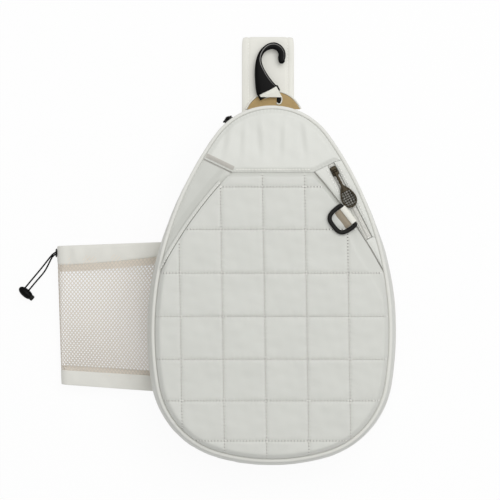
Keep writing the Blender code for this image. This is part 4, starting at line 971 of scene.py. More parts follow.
@dataclass
class SideWall:
    """The bulging side wall in two halves, its corded seams and the zip between them."""

    bulge: float = 0.0116
    wall: float = 0.0024
    piping: float = 0.0048
    gap: float = -0.0002
    tuck: Pair = (0.0009, 0.0016)
    puff: float = 0.0003
    tape: float = 0.0012
    tape_sunk: float = 0.0012
    taper: float = 0.0062
    taper_span: Pair = (0.030, 0.200)
    tooth: Triple = (0.0011, 0.0024, 0.0026)
    tooth_pitch: float = 0.0021
    tooth_overlap: float = 0.0006
    tooth_out: float = 0.0003
    hinge_gap: float = 0.0006
    rows: int = 520

    def __post_init__(self) -> None:
        """Read the levels of the seams and of the zip from the frame."""
        self.back_z, self.front_z = (0.5 * sum(levels(f"{side}_piping")) for side in ("back", "front"))
        self.zip_z = 0.5 * (self.back_z + self.front_z)
        self.ring = np.linspace(0.0, EGG.girth, self.rows, endpoint=False)

    def share(self, z: Array) -> Array:
        """Share of the bulge at a height: a quarter sine up to the zip and another down."""
        near = 1.0 - np.abs(z - self.zip_z) / (0.5 * (self.front_z - self.back_z))
        return np.sin(0.5 * math.pi * np.clip(near, 0.0, 1.0))

    def offset(self, z: Array) -> Array:
        """How far the wall stands outside the seam at a height, on the bag's lower half."""
        return self.piping + (self.bulge - self.piping) * self.share(z)

    def drawn_in(self, y: Array) -> Array:
        """How much of the bulge is lost towards the bag's top."""
        low, high = self.taper_span
        return self.taper * smooth((y - low) / (high - low))

    def band(self, runs: Array, offsets: Array, heights: Array, closed: bool = False,
             puff: float = 0.0, tapered: bool = True) -> Surface:
        """Carry a closed profile of offsets and heights round the bag.

        Args:
            runs: Distances along the outline.
            offsets: The profile's distances outside the outline.
            heights: The profile's heights.
            closed: Whether the band goes all the way round.
            puff: How far soft ripples lift the profile's outer points.
            tapered: Whether the bulge fades towards the bag's top.

        Returns:
            The band's surface.
        """
        flat, way = EGG.along(runs)
        shape = np.broadcast_to(offsets, (len(runs), len(offsets))).copy()
        if tapered:
            shape -= self.drawn_in(flat[:, 1:]) * self.share(heights)
        x, y = flat[:, :1] + 0.9 * heights, flat[:, 1:] - 0.6 * heights
        outer = smooth((offsets - offsets.min()) / np.ptp(offsets))
        shape += puff * outer * (ripples(x, y, 0.05, 3) + 0.5 * ripples(x, y, 0.018, 4))
        return skin(at_level(flat[:, None] + shape[..., None] * way[:, None], heights), loop_rows=closed)

    def gusset(self, low: float, high: float) -> Surface:
        """One half of the wall.

        Args:
            low: Level of its lower edge.
            high: Level of its upper edge.

        Returns:
            The cloth, tucked in at both edges by falling exponentials.
        """
        z = np.linspace(low, high, 18)
        depth, width = self.tuck
        outer = self.offset(z) - depth * (np.exp(-(z - low) / width) + np.exp(-(high - z) / width))
        return self.band(self.ring, np.concatenate([outer, self.offset(z)[::-1] - self.wall]),
                         np.concatenate([z, z[::-1]]), closed=True, puff=self.puff)

    def cord(self, z: float) -> Surface:
        """Corded seam at a level: a round profile that rests against the panel's edge."""
        ring = rounded(self.piping, 0.94 * self.piping, 2.2, 16) + [0.5 * self.piping + self.gap, z]
        return self.band(self.ring, *ring.T, closed=True, tapered=False)

    def zip_runs(self, count: int) -> Array:
        """Distances along the zip, which leaves out the bottom arc."""
        return np.linspace(EGG.ends[0], EGG.girth - EGG.ends[0], count)

    def zip_half(self, sign: float) -> tuple[Surface, Surface]:
        """Tape and teeth of one half of the zip.

        Args:
            sign: 1 for the front half and -1 for the back half.

        Returns:
            The tape, and the teeth, which reach a little over the middle line in turn.
        """
        low, high = levels("main_zip_tape_front" if sign > 0.0 else "main_zip_tape_back")
        near, far = (low, high) if sign > 0.0 else (high, low)
        near -= sign * 0.5 * self.tooth[2]
        middle = [self.bulge - self.tape_sunk, 0.5 * (near + far)]
        ring = rounded(self.tape, abs(far - near), 5.0, 16) + middle
        count = round((EGG.girth - 2.0 * EGG.ends[0]) / self.tooth_pitch)
        flat, way = EGG.along(self.zip_runs(2 * count)[1 + (sign > 0.0):-1:2])
        reach = self.bulge - 0.5 * self.tooth[1] + self.tooth_out - self.drawn_in(flat[:, 1:])
        places = at_level(flat + reach * way, self.zip_z + sign * (0.5 * self.tooth[2] - self.tooth_overlap))
        out = at_level(way, 0.0)
        teeth = scatter(pebble(self.tooth, 3.0, 3, 8), places, np.cross(out, UP), out, UP)
        return self.band(self.zip_runs(self.rows), *ring.T), teeth

    def hinge(self) -> Surface:
        """Cloth along the bottom arc.

        Returns:
            Two faces, with enough rows up their height to bend.
        """
        z = np.linspace(*levels("hinge_gusset"), 20)
        offsets = np.repeat(self.bulge - self.tape_sunk + self.tape * np.array([0.5, -0.5]), 20)
        end = EGG.ends[0] - self.hinge_gap
        return self.band(np.linspace(-end, end, 90), offsets, np.concatenate([z, z[::-1]]))

    def build(self) -> None:
        """Add the wall, its seams, the zip and the bending cloth at the bottom."""
        halves = (("back", Body.BACK, -1.0, self.back_z), ("front", Body.FRONT, 1.0, self.front_z))
        for side, body, sign, level in halves:
            wall = self.gusset(*levels(f"{side}_gusset"))
            add_piece(f"{side}_wall_cloth", wall, COVER, body, Slot.CREAM, f"{side}_gusset")
            add_piece(f"{side}_corded_seam", self.cord(level), PIPING, body, Slot.WEBBING, f"{side}_piping")
            tape, teeth = self.zip_half(sign)
            add_piece(f"{side}_zip_tape", tape, TAPE, body, Slot.TAPE, f"main_zip_tape_{side}")
            add_piece(f"{side}_zip_teeth", teeth, TEETH, body, Slot.TAPE, f"main_zip_coil_{side}")
        cloth = add_piece("hinge_cloth", self.hinge(), COVER, None, Slot.CREAM, "hinge_gusset")
        low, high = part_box("hinge_gusset")
        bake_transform(cloth)
        low, high = levels("front_panel")
        lining = patch(EGG.along(self.ring)[0], (0.0, 0.05), high, low, 24, 24)
        add_piece("front_lining", lining, SATIN, Body.FRONT, Slot.CREAM, "front_panel")


@dataclass
class FrontCover:
    """The panels on the front: quilted pocket, smooth top, left pocket mouth and zip pocket.

    The forms of the smooth panels are each a thickness, the width of the rolled edge and the height
    of the soft unevenness.
    """

    corner_left: Pair = (-0.048, 0.192)
    corner_right: Pair = (0.050, 0.192)
    slash_end: float = 0.071
    sag_left: float = 0.0055
    sag_right: float = 0.0045
    slash_top: float = 0.2083
    seam: float = 0.0002
    pitch: float = 0.0504
    column: float = -0.0096
    lean: Pair = (0.0156, 0.0903)
    rows: tuple[float, ...] = (0.2252, 0.1743, 0.1234, 0.0712, 0.0193, -0.0320, -0.0816, -0.1296, -0.1785)
    crown: float = 0.0040
    crease: Triple = (0.0012, 0.20, 0.27)
    pucker: Triple = (0.00014, 0.0085, 0.004)
    skin: float = 0.0028
    edge_height: float = 0.0028
    edge_roll: tuple[float, float, float, float] = (0.005, 0.013, 0.150, 0.05)
    lip: Pair = (0.0020, 0.22)
    mouth_dip: Pair = (0.0008, 0.004)
    rim_roll: float = 0.009
    rim: float = 0.015
    welt: Pair = (0.0048, 0.0034)
    welt_top: float = 0.1805
    welt_seam: float = 0.0012
    mouth_rise: Pair = (0.0030, 0.010)
    mouth_under: float = 0.006
    top_form: Triple = (0.0046, 0.006, 0.0003)
    mouth_form: Triple = (0.0011, 0.004, 0.00025)
    strip_form: Triple = (0.0039, 0.0035, 0.0002)
    strip_ends: Pair = (0.004, 0.0024)
    zip_top: Pair = (0.202, 0.0155)
    zip_end: Pair = (0.112, 0.0077)
    tape_half: float = 0.0044
    tooth: Pair = (0.0010, 0.0023)
    tooth_pitch: float = 0.0017
    tooth_reach: float = 0.00055
    pocket_gap: Pair = (0.0012, 0.0004)
    stitch_inset: float = 0.0030
    thread_lift: float = 0.0003
    thread_side: float = 0.0004
    # Width and lift of the painted shadow bands in the seam gaps.
    shadow_band: Pair = (0.0013, 0.0012)
    facing: Triple = (0.0022, 0.0074, 0.0014)
    facing_half: float = 0.0004
    fold: Pair = (0.0007, 0.0045)
    folds: tuple[Pair, ...] = (
        (-0.056, 0.20), (-0.038, 0.05), (-0.017, -0.06), (0.010, 0.04), (0.036, -0.10))

    def __post_init__(self) -> None:
        """Read the levels of the layers from the frame, and lay out the zip and the pocket's edges."""
        self.layer, self.mouth = levels("top_panel")[0], levels("slash_welt")[0]
        first, last = (np.array([EGG.half_width(y) - sunk, y]) for y, sunk in (self.zip_top, self.zip_end))
        self.zip_start = first
        self.zip_length = float(np.linalg.norm(last - first))
        self.zip_way = unit(last - first)
        self.zip_right = np.array([-self.zip_way[1], self.zip_way[0]])
        self.left, self.right = (self.slash(sign, np.linspace(0.0, 1.0, 90)) for sign in (-1.0, 1.0))
        self.mouth_start = EGG.along(np.array([EGG.left_run(self.slash_top)]))[0][0]
        end = EGG.run_at(self.slash_end)
        bottom = EGG.along(np.linspace(-end, end, 300))[0]
        sewn = np.vstack([bottom, self.right[::-1], self.left[:-1]])
        self.lower_rim = bottom[::6]
        self.right_rim = self.right[::-10]
        self.upper_rim = np.vstack([self.right[:1], self.left[:1]])
        self.quilt_outline = inset(resample(sewn, 720, True), self.seam)

    def slash(self, sign: float, share: Array) -> Array:
        """Follow a slanting edge of the quilted pocket: a chord plus a parabola's sag.

        Args:
            sign: 1 for the right edge and -1 for the left one.
            share: Shares of the way down.

        Returns:
            Flat points.
        """
        start = np.array(self.corner_left if sign < 0.0 else self.corner_right)
        sag = self.sag_left if sign < 0.0 else self.sag_right
        chord = np.array([sign * EGG.half_width(self.slash_end), self.slash_end]) - start
        out = unit(np.array([-chord[1], chord[0]])) * sign
        t = share[:, None]
        return start + chord * t + out * sag * 4.0 * t * (1.0 - t)

    def zip_at(self, along: Array | float, across: Array | float) -> Array:
        """Flat points by their distances along the front zip and to its right."""
        along, across = (np.asarray(value)[..., None] for value in (along, across))
        return self.zip_start + self.zip_way * along + self.zip_right * across

    def squares(self, x: Array, y: Array) -> tuple[Array, Array]:
        """Place in the quilting, counted in squares: columns that lean, and rows at their own heights."""
        columns = (x + self.lean[0] * (y - self.lean[1]) - self.column) / self.pitch
        return columns, np.interp(-y, -np.array(self.rows), np.arange(len(self.rows)))

    def swell(self, squares: Array) -> tuple[Array, Array]:
        """Fill the padding across one direction.

        It is one less a share of the sum of a narrow crease, a falling exponential of the distance
        to the seam, and of a wide hollow, a power of the distance from the middle of the square.

        Args:
            squares: Places, counted in squares.

        Returns:
            How full the padding is, and the distance to the nearest seam.
        """
        share = np.mod(squares, 1.0)
        share = np.minimum(share, 1.0 - share)
        away = self.pitch * share
        width, narrow, depth = self.crease
        sunk = narrow * np.exp(-away / width) + (1.0 - narrow) * (1.0 - 2.0 * share) ** 12
        return 1.0 - depth * sunk, away

    def quilt_top(self, x: Array, y: Array) -> Array:
        """Height of the quilted pocket.

        The swelling squares, with soft waves and with small puckers beside the seams, lie on a base
        that rolls down to the sewn edges: as a quarter round, or along the right pocket as a low lip
        and a long ease. The open edge dips a little.

        Args:
            x: Places across.
            y: Places up.

        Returns:
            The heights.
        """
        (full_x, away_x), (full_y, away_y) = (self.swell(places) for places in self.squares(x, y))
        waves = 0.00035 * ripples(x, y, 0.045, 13) + 0.00015 * ripples(x, y, 0.016, 14)
        size, pitch, width = self.pucker
        for place, away, seed in ((y, away_x, 11), (x, away_y, 12)):
            turn = 2.0 * math.pi * place / pitch + 2.0 * ripples(x, y, 0.03, seed)
            waves = waves + size * np.sin(turn) * np.exp(-away / width)
        crown = self.crown * full_x * full_y * (1.0 + 0.05 * ripples(x, y, 0.09, 15))
        crown += waves * np.minimum(full_x, full_y)
        low, high, beside = (np.clip(depth_inside(x, y, line), 0.0, None)
                             for line in (self.lower_rim, self.upper_rim, self.right_rim))
        least, more, level, span = self.edge_roll
        right = smooth(beside / (least + more * smooth((level - y) / span)))
        lips = self.lip[1] * np.sqrt(1.0 - np.clip(1.0 - beside / self.lip[0], 0.0, 1.0) ** 2)
        roll, swell = lips + (1.0 - self.lip[1]) * right, right
        for depth in (low, high):
            roll = roll * np.sqrt(1.0 - np.clip(1.0 - depth / self.rim_roll, 0.0, 1.0) ** 2)
            swell = swell * smooth(depth / (0.7 * self.rim_roll))
        edge = self.layer + self.edge_height
        dip = self.mouth_dip[0] * (1.0 - smooth(self.mouth_distance(x, y) / self.mouth_dip[1]))
        return edge + roll * (self.mouth + self.skin - edge) + swell * crown - dip

    def sewn_depth(self, x: Array, y: Array) -> Array:
        """Distance inside the sewn edges of the quilted pocket."""
        lines = (self.lower_rim, self.right_rim, self.upper_rim)
        return np.minimum.reduce([depth_inside(x, y, line) for line in lines])

    def mouth_distance(self, x: Array, y: Array) -> Array:
        """Distance from the left pocket mouth, as a depth inside its line."""
        return depth_inside(x, y, self.left[::8])

    def quilt_under(self, x: Array, y: Array) -> Array:
        """Underside of the quilted pocket: down on the front at its rim, raised inside."""
        inner = smooth((self.sewn_depth(x, y) - 0.7 * self.rim) / (0.5 * self.rim))
        return self.layer + (self.mouth - self.layer) * inner

    def quilt_rows(self) -> list[tuple[Surface, Surface]]:
        """Sew along every quilting line.

        Returns:
            Stitches and dark beads of painted needle-hole shade of each line, sunk into the creases.
        """
        down = np.linspace(-EGG.bottom, self.corner_left[1], 700)
        across = np.linspace(-EGG.half, EGG.half, 700)
        columns = self.column + self.pitch * np.arange(-3, 4)
        lines = [(level - self.lean[0] * (down - self.lean[1]), down, (1.0, 0.0)) for level in columns]
        lines += [(across, np.full_like(across, level), (0.0, 1.0)) for level in self.rows[1:-1]]
        sewn = []
        for x, y, way in lines:
            keep = np.minimum(self.sewn_depth(x, y), self.mouth_distance(x, y)) > 0.0015
            if keep.sum() > 30:
                flat = np.column_stack([x, y])[keep] - self.thread_side * np.array(way)
                sewn.append(SEWN.along(at_level(flat, self.quilt_top(*flat.T) + self.thread_lift)))
        return sewn

    def soft_top(self, outline: Array, form: Triple, seed: int, edge: float = 0.55) -> Height:
        """Make the height of a smooth panel that rolls down to its edge.

        Args:
            outline: The panel's edge.
            form: Its form.
            seed: Picks the unevenness.
            edge: Share of the thickness that is left at the edge.

        Returns:
            The height as a function of x and y.
        """
        closed = np.vstack([outline, outline[:1]])[::4]
        thickness, roll, puff = form

        def height(x: Array, y: Array) -> Array:
            """Layer plus thickness, eased to a share of it at the edge, with soft waves.

            Args:
                x: Places across.
                y: Places up.

            Returns:
                The heights.
            """
            ease = smooth(gap_to(x, y, closed) / roll)
            waves = puff * ease * (ripples(x, y, 0.05, seed) + 0.4 * ripples(x, y, 0.02, seed + 1))
            return self.layer + thickness * (edge + (1.0 - edge) * ease) + waves

        return height

    def top_outline(self) -> Array:
        """Edge of the smooth upper panel.

        Returns:
            Flat points, from the zip round the top to the quilted pocket's corners.
        """
        tape = [self.zip_at(0.0, -self.tape_half), self.zip_at(0.0, self.tape_half)]
        rim = np.linspace(EGG.run_at(tape[1][1] + self.strip_ends[1]), EGG.left_run(self.slash_top), 160)
        return np.vstack([EGG.along(rim)[0], self.corner_left, self.corner_right, tape])

    def add_quilt(self) -> None:
        """Add the quilted pocket and its stitching."""
        cover = patch(self.quilt_outline, (0.0, 0.02), self.quilt_top, self.quilt_under, 170, 16)
        item = add_piece("quilt_cover", cover, COVER, Body.FRONT, Slot.CREAM, "quilted_panel")
        sew("quilt_seams", self.quilt_rows(), Body.FRONT, Slot.CREAM, True)

    def add_top(self) -> None:
        """Add the smooth upper panel with its faint folds, and the stitching at its lower edge."""
        outline = inset(resample(self.top_outline(), 360, True), self.seam)
        plain = self.soft_top(outline, self.top_form, 21)

        def folded(x: Array, y: Array) -> Array:
            """The plain height with shallow folds that lean from the top: a ridge beside a furrow.

            Args:
                x: Places across.
                y: Places up.

            Returns:
                The heights.
            """
            z = plain(x, y)
            reach = self.fold[0] * np.exp(-(((y - 0.232) / 0.02) ** 2))
            for place, lean in self.folds:
                across = (x - place - lean * (y - 0.235)) / self.fold[1]
                z = z + reach * (np.exp(-((across - 1.2) ** 2)) - np.exp(-(across**2)))
            return z

        cover = patch(outline, (0.0, 0.225), folded, self.layer, 60, 8)
        add_piece("top_cover", cover, SATIN, Body.FRONT, Slot.SATIN, "top_panel")
        inward = np.array([[0.004, self.stitch_inset], [-0.004, self.stitch_inset]])
        line = resample(np.array([self.corner_left, self.corner_right]) + inward, 60)
        sew("top_seam", [SEWN.along(at_level(line, folded(*line.T)))], Body.FRONT, Slot.SATIN)
        self.add_facing(folded)

    def add_facing(self, height: Height) -> None:
        """Add the narrow facing above the left pocket: a band laid on the upper panel's cloth, whose darker
        grey is painted shade of the fold there.

        Args:
            height: Height of the upper panel.
        """
        near, far, start = self.facing
        chord = np.array(self.corner_left) - self.mouth_start
        way = unit(chord)
        run = np.linspace(start, np.linalg.norm(chord), 40)[:, None, None]
        across = np.concatenate([np.linspace(near, far, 8), np.linspace(far, near, 8)])[:, None]
        flat = self.mouth_start + run * way + across * np.array([-way[1], way[0]])
        lift = np.repeat([self.facing_half, -self.facing_half], 8)
        band = skin(at_level(flat, height(flat[..., 0], flat[..., 1]) + lift))
        add_piece("mouth_facing_shade", band, SHADED_FACING, Body.FRONT, Slot.SATIN)

    def add_slash(self) -> None:
        """Add the panel behind the left pocket mouth, which runs on under the quilt, and the binding."""
        runs = np.linspace(EGG.left_run(self.slash_top), EGG.left_run(self.left[-10, 1]), 90)
        inward = left_of(headings(self.left))
        under = (self.left + self.mouth_under * inward)[:-9]
        outline = inset(resample(np.vstack([EGG.along(runs)[0], under[::-1]]), 260, True), self.seam)
        plain = self.soft_top(outline, self.mouth_form, 31)
        rise, reach = self.mouth_rise

        def rising(x: Array, y: Array) -> Array:
            """The plain height, raised towards the binding of the mouth."""
            gap = -self.mouth_distance(x, y) - self.welt[0]
            return plain(x, y) + rise * smooth(1.0 - gap / reach)

        cover = patch(outline, (-0.0975, 0.160), rising, self.layer, 40, 6)
        # This panel's darker cloth is painted shade.
        add_piece("mouth_cover", cover, SHADED_MOUTH, Body.FRONT, Slot.SATIN, "slash_panel")
        flat = (self.left - inward * (self.seam + 0.5 * self.welt[0]))[:-3]
        shown = flat[:, 1] < self.welt_top
        path = at_level(flat[shown], self.mouth + 0.5 * self.welt[1])
        side = at_level(-inward[:-3][shown], 0.0)
        narrow = 1.0 - 0.6 * smooth(np.linspace(-5.0, 1.0, len(path)))[:, None]
        binding = sweep(path - UP * (1.0 - narrow) * self.welt[1], side, UP,
                        rounded(*self.welt, 2.6, 20) * narrow[:, None])
        add_piece("mouth_binding", binding, COVER, Body.FRONT, Slot.CREAM, "slash_welt")
        row = path - side * self.welt_seam + UP * 0.48 * self.welt[1]
        sew("mouth_seam", [SEWN.along(row)], Body.FRONT, Slot.CREAM)

    def add_strips(self) -> None:
        """Add the smooth strips on both sides of the zip, and the piece below its end."""
        wide = self.tape_half
        corners = [self.zip_at(along, side) for along in (0.0, self.zip_length) for side in (-wide, wide)]
        edge = self.right + np.array(self.pocket_gap)
        below = edge[:, 1] < corners[2][1]
        low, high = self.strip_ends
        marks = (self.slash_end + low, corners[3][1], corners[1][1] + high)
        runs = [EGG.run_at(level) for level in marks]
        foot, rim = (EGG.along(np.linspace(start, end, 60))[0] for start, end in zip(runs, runs[1:]))
        strips = (
            ("zip_placket", [corners[2], corners[0], edge[~below]], ("zip_placket",)),
            ("zip_outer_strip", [corners[1], corners[3], rim], ("zip_outer_strip",)),
            ("zip_foot", [corners[3], corners[2], edge[below][:-4], foot], ()),
        )
        for name, points, nodes in strips:
            outline = inset(resample(np.vstack(points), 220, True), self.seam)
            top = self.soft_top(outline, self.strip_form, 41, 0.85)
            cover = patch(outline, tuple(outline.mean(axis=0)), top, self.layer, 30, 6)
            add_piece(f"{name}_cover", cover, SATIN, Body.FRONT, Slot.SATIN, *nodes)

    def add_zip(self) -> None:
        """Add the right pocket's zip: the tape, its teeth in turn left and right, and the stitching."""
        length, wide = self.zip_length, self.tape_half
        side = np.array([*self.zip_right, 0.0])
        low, high = levels("front_zip_tape")
        path = at_level(self.zip_at(np.linspace(0.0007, length - 0.0007, 60), 0.0), 0.5 * (low + high))
        tape = sweep(path, side, UP, rounded(2.0 * wide - 0.001, high - low, 5.0, 20))
        add_piece("pocket_zip_tape", tape, TAPE, Body.FRONT, Slot.TAPE, "front_zip_tape")
        low, high = levels("front_zip_coil")
        count = round((length - 0.005) / self.tooth_pitch)
        reach = np.tile([self.tooth_reach, -self.tooth_reach], count)
        runs = np.linspace(0.0012, length - 0.0042, 2 * count)
        places = at_level(self.zip_at(runs, reach), 0.5 * (low + high))
        tooth = pebble((*self.tooth, high - low), 3.0, 3, 8)
        teeth = scatter(tooth, places, np.array([*self.zip_way, 0.0]), side, UP)
        add_piece("pocket_zip_teeth", teeth, TEETH, Body.FRONT, Slot.TAPE, "front_zip_coil")
        redress("front_zip_stop", TEETH)
        lines = [self.zip_at(np.linspace(0.004, 0.72 * length, 40), sign * (wide + self.stitch_inset))
                 for sign in (-1.0, 1.0)]
        rows = [SEWN.along(at_level(line, self.layer + self.strip_form[0])) for line in lines]
        sew("pocket_zip_seams", rows, Body.FRONT, Slot.SATIN)

    def add_shadow_bands(self) -> None:
        """Add painted shadow in the gap beside each cut edge: narrow dark bands along the edges."""
        width, lift = self.shadow_band
        corner = self.left[self.left[:, 1] > self.welt_top]
        top = np.array([self.mouth_start, self.corner_left])
        edges = (("pocket", self.right[1:-3], 1.0), ("mouth_top", top, -1.0), ("mouth", corner, -1.0))
        for name, edge, sign in edges:
            line = resample(edge, 80)
            out = sign * left_of(headings(line))
            path = at_level(line + 0.5 * width * out, self.layer + lift)
            band = sweep(path, at_level(out, 0.0), UP, rounded(width, 0.001, 4.0, 12))
            add_piece(f"{name}_ditch", band, SEAM_SHADOW, Body.FRONT, Slot.SATIN)

    def build(self) -> None:
        """Add every panel of the front."""
        self.add_shadow_bands()
        self.add_quilt()
        self.add_top()
        self.add_slash()
        self.add_strips()
        self.add_zip()


@dataclass
class ZipHardware:
    """Sliders and pulls of the front pocket's zip and of the main zip."""

    cover: FrontCover
    wall: SideWall
    slider_start: float = 0.010
    front_size: Pair = (0.0085, 0.012)
    main_size: Pair = (0.013, 0.009)
    main_angle: float = math.radians(127.0)
    main_gap: float = 0.0004
    height: float = 0.0022
    waist: Pair = (0.16, 0.22)
    pin: float = 0.0044
    pin_radius: float = 0.0009
    pin_play: float = 0.0003
    knuckle: float = 0.0019
    knuckle_half: float = 0.0018
    cheek: Pair = (0.0012, 0.0034)
    cheek_gap: float = 0.0004
    cheek_over: float = 0.0015
    thickness: float = 0.0018
    head: Pair = (0.0185, 0.030)
    length: float = 0.0485
    rim: float = 0.0021
    lattice: float = 0.0030
    string: float = 0.00055
    string_lift: float = 0.00015
    taper: float = 0.45
    grip_rings: float = 1300.0
    main_pull: Pair = (0.013, 0.024)
    tag_ribs: float = 2600.0

    def slider(self, across: float, along: float) -> Surface:
        """Slider in its own frame.

        Args:
            across: Its width.
            along: Its length.

        Returns:
            A rounded body with a waist, two cheeks and a pin.
        """
        body = pebble((across, along, self.height), 4.5, 12, 40)
        depth, width = self.waist
        body.points[:, 0] *= 1.0 - depth * np.exp(-((body.points[:, 1] / (width * along)) ** 2))
        parts = [body.moved((0.0, 0.0, 0.5 * self.height))]
        near = self.knuckle_half + self.cheek_gap + 0.5 * self.cheek[0]
        foot = 0.4 * self.height
        reach = self.pin + self.cheek_over - foot
        for sign in (-1.0, 1.0):
            plate = pebble((*self.cheek, reach), 3.5, 10, 20)
            parts.append(plate.moved((sign * near, 0.0, foot + 0.5 * reach)))
        parts.append(rod(np.array([-near, 0.0, self.pin]), np.array([near, 0.0, self.pin]), self.pin_radius))
        return Surface.joined(parts)

    def eye(self) -> Surface:
        """Knuckle of a pull.

        Returns:
            A band round the slider's pin.
        """
        inner = self.pin_radius + self.pin_play
        out = np.column_stack([np.zeros(28), spokes(circle(28))])
        band = rounded(2.0 * self.knuckle_half, self.knuckle - inner, 4.0, 14)
        return sweep(0.5 * (inner + self.knuckle) * out, EAST, out, band, closed=True)

    def racket(self) -> Surface:
        """Racket-shaped pull.

        The rim is a teardrop: an oval whose half width is also multiplied by a power of the share
        of the way from the throat, so that it narrows into the grip.

        Returns:
            The rim, crossed strings, a solid throat and a grip with rings.
        """
        half = 0.5 * self.head[1]
        centre = self.length - half
        turn = circle(96)
        drop = np.sin(turn) * (0.5 - 0.5 * np.cos(turn)) ** self.taper
        x = 0.5 * (self.head[0] - self.rim) * drop / drop.max()
        y = centre - (half - 0.5 * self.rim) * np.cos(turn)
        line = resample(np.column_stack([x, y, np.zeros(96)]), 90, True)
        side = np.cross(headings(line, True), UP)
        rim = sweep(line, side, UP, rounded(self.rim, self.thickness, 3.0, 14), closed=True)
        x, y, lift = x[:49], y[:49], self.string_lift
        strings = []
        for place in np.arange(y[-1] - 0.002, centre - 0.45 * half, -self.lattice):
            reach = np.interp(place, y, x)
            strings.append([[-reach, place, lift], [reach, place, lift]])
        for place in np.arange(-3, 4) * self.lattice:
            inside = y[x > abs(place)]
            if len(inside) > 3:
                low = max(inside[0], centre - 0.5 * half)
                strings.append([[place, low, -lift], [place, inside[-1], -lift]])
        parts = [self.eye(), rim, *(rod(*np.array(ends), self.string, 6) for ends in strings)]
        run = np.linspace(0.6 * self.knuckle, centre - 0.42 * half, 36)
        widths = 2.0 * self.knuckle_half * (0.94 + 0.1 * np.sin(run * self.grip_rings))
        widths = np.maximum(widths, 2.0 * np.interp(run, y, x, left=0.0))
        heights = self.thickness * (1.0 - 0.35 * smooth((run - y[0]) / 0.008))
        return Surface.joined([*parts, bar(run, widths, heights, 3.0, 16)])

    def tag(self) -> Surface:
        """Moulded pull of the main zip.

        Returns:
            A flat ribbed tag that widens from its knuckle, with a round end.
        """
        width, length = self.main_pull
        narrow = 2.0 * self.knuckle_half
        run = np.linspace(0.6 * self.knuckle, 0.9 * length, 26)
        run = np.append(run, length * np.array([0.94, 0.97, 0.99]))
        flare = smooth((run - 2.0 * self.knuckle) / 0.006)
        ending = np.sqrt(np.clip(10.0 * (1.0 - run / length), 0.05, 1.0))
        widths = (narrow + (width - narrow) * flare) * ending
        heights = self.thickness * (1.0 + 0.12 * np.sin(run * self.tag_ribs) * flare)
        return Surface.joined([self.eye(), bar(run, widths, heights, 3.5, 18)])

    def build(self) -> None:
        """Add both sliders and pulls."""
        spot = self.cover.zip_at(self.slider_start, 0.0)
        front = Place.of(np.array([*spot, levels("front_slider")[0]]), [*-self.cover.zip_right, 0.0],
                         [*self.cover.zip_way, 0.0])
        x, y = math.cos(self.main_angle), math.sin(self.main_angle)
        reach = EGG.top_radius + self.wall.bulge - self.wall.taper + self.main_gap
        spot = np.array([reach * x, EGG.top - EGG.top_radius + reach * y, self.wall.zip_z])
        main = Place.of(spot, [y, -x, 0.0], [0.0, 0.0, -1.0])
        add_piece("pocket_zip_slider", front.put(self.slider(*self.front_size)), METAL, Body.FRONT_SLIDER,
                  Slot.METAL, "front_slider")
        add_piece("main_zip_slider", main.put(self.slider(*self.main_size)), MATT, Body.MAIN_SLIDER,
                  Slot.DARK, "main_slider")
        pulls = [place.put(pull.moved((0.0, 0.0, self.pin)))
                 for place, pull in ((front, self.racket()), (main, self.tag()))]
        add_piece("racket_pull", pulls[0], METAL, Body.FRONT_PULL, Slot.METAL, "front_pull")
        add_piece("main_zip_tag", pulls[1], MATT, Body.MAIN_PULL, Slot.DARK, "main_pull")


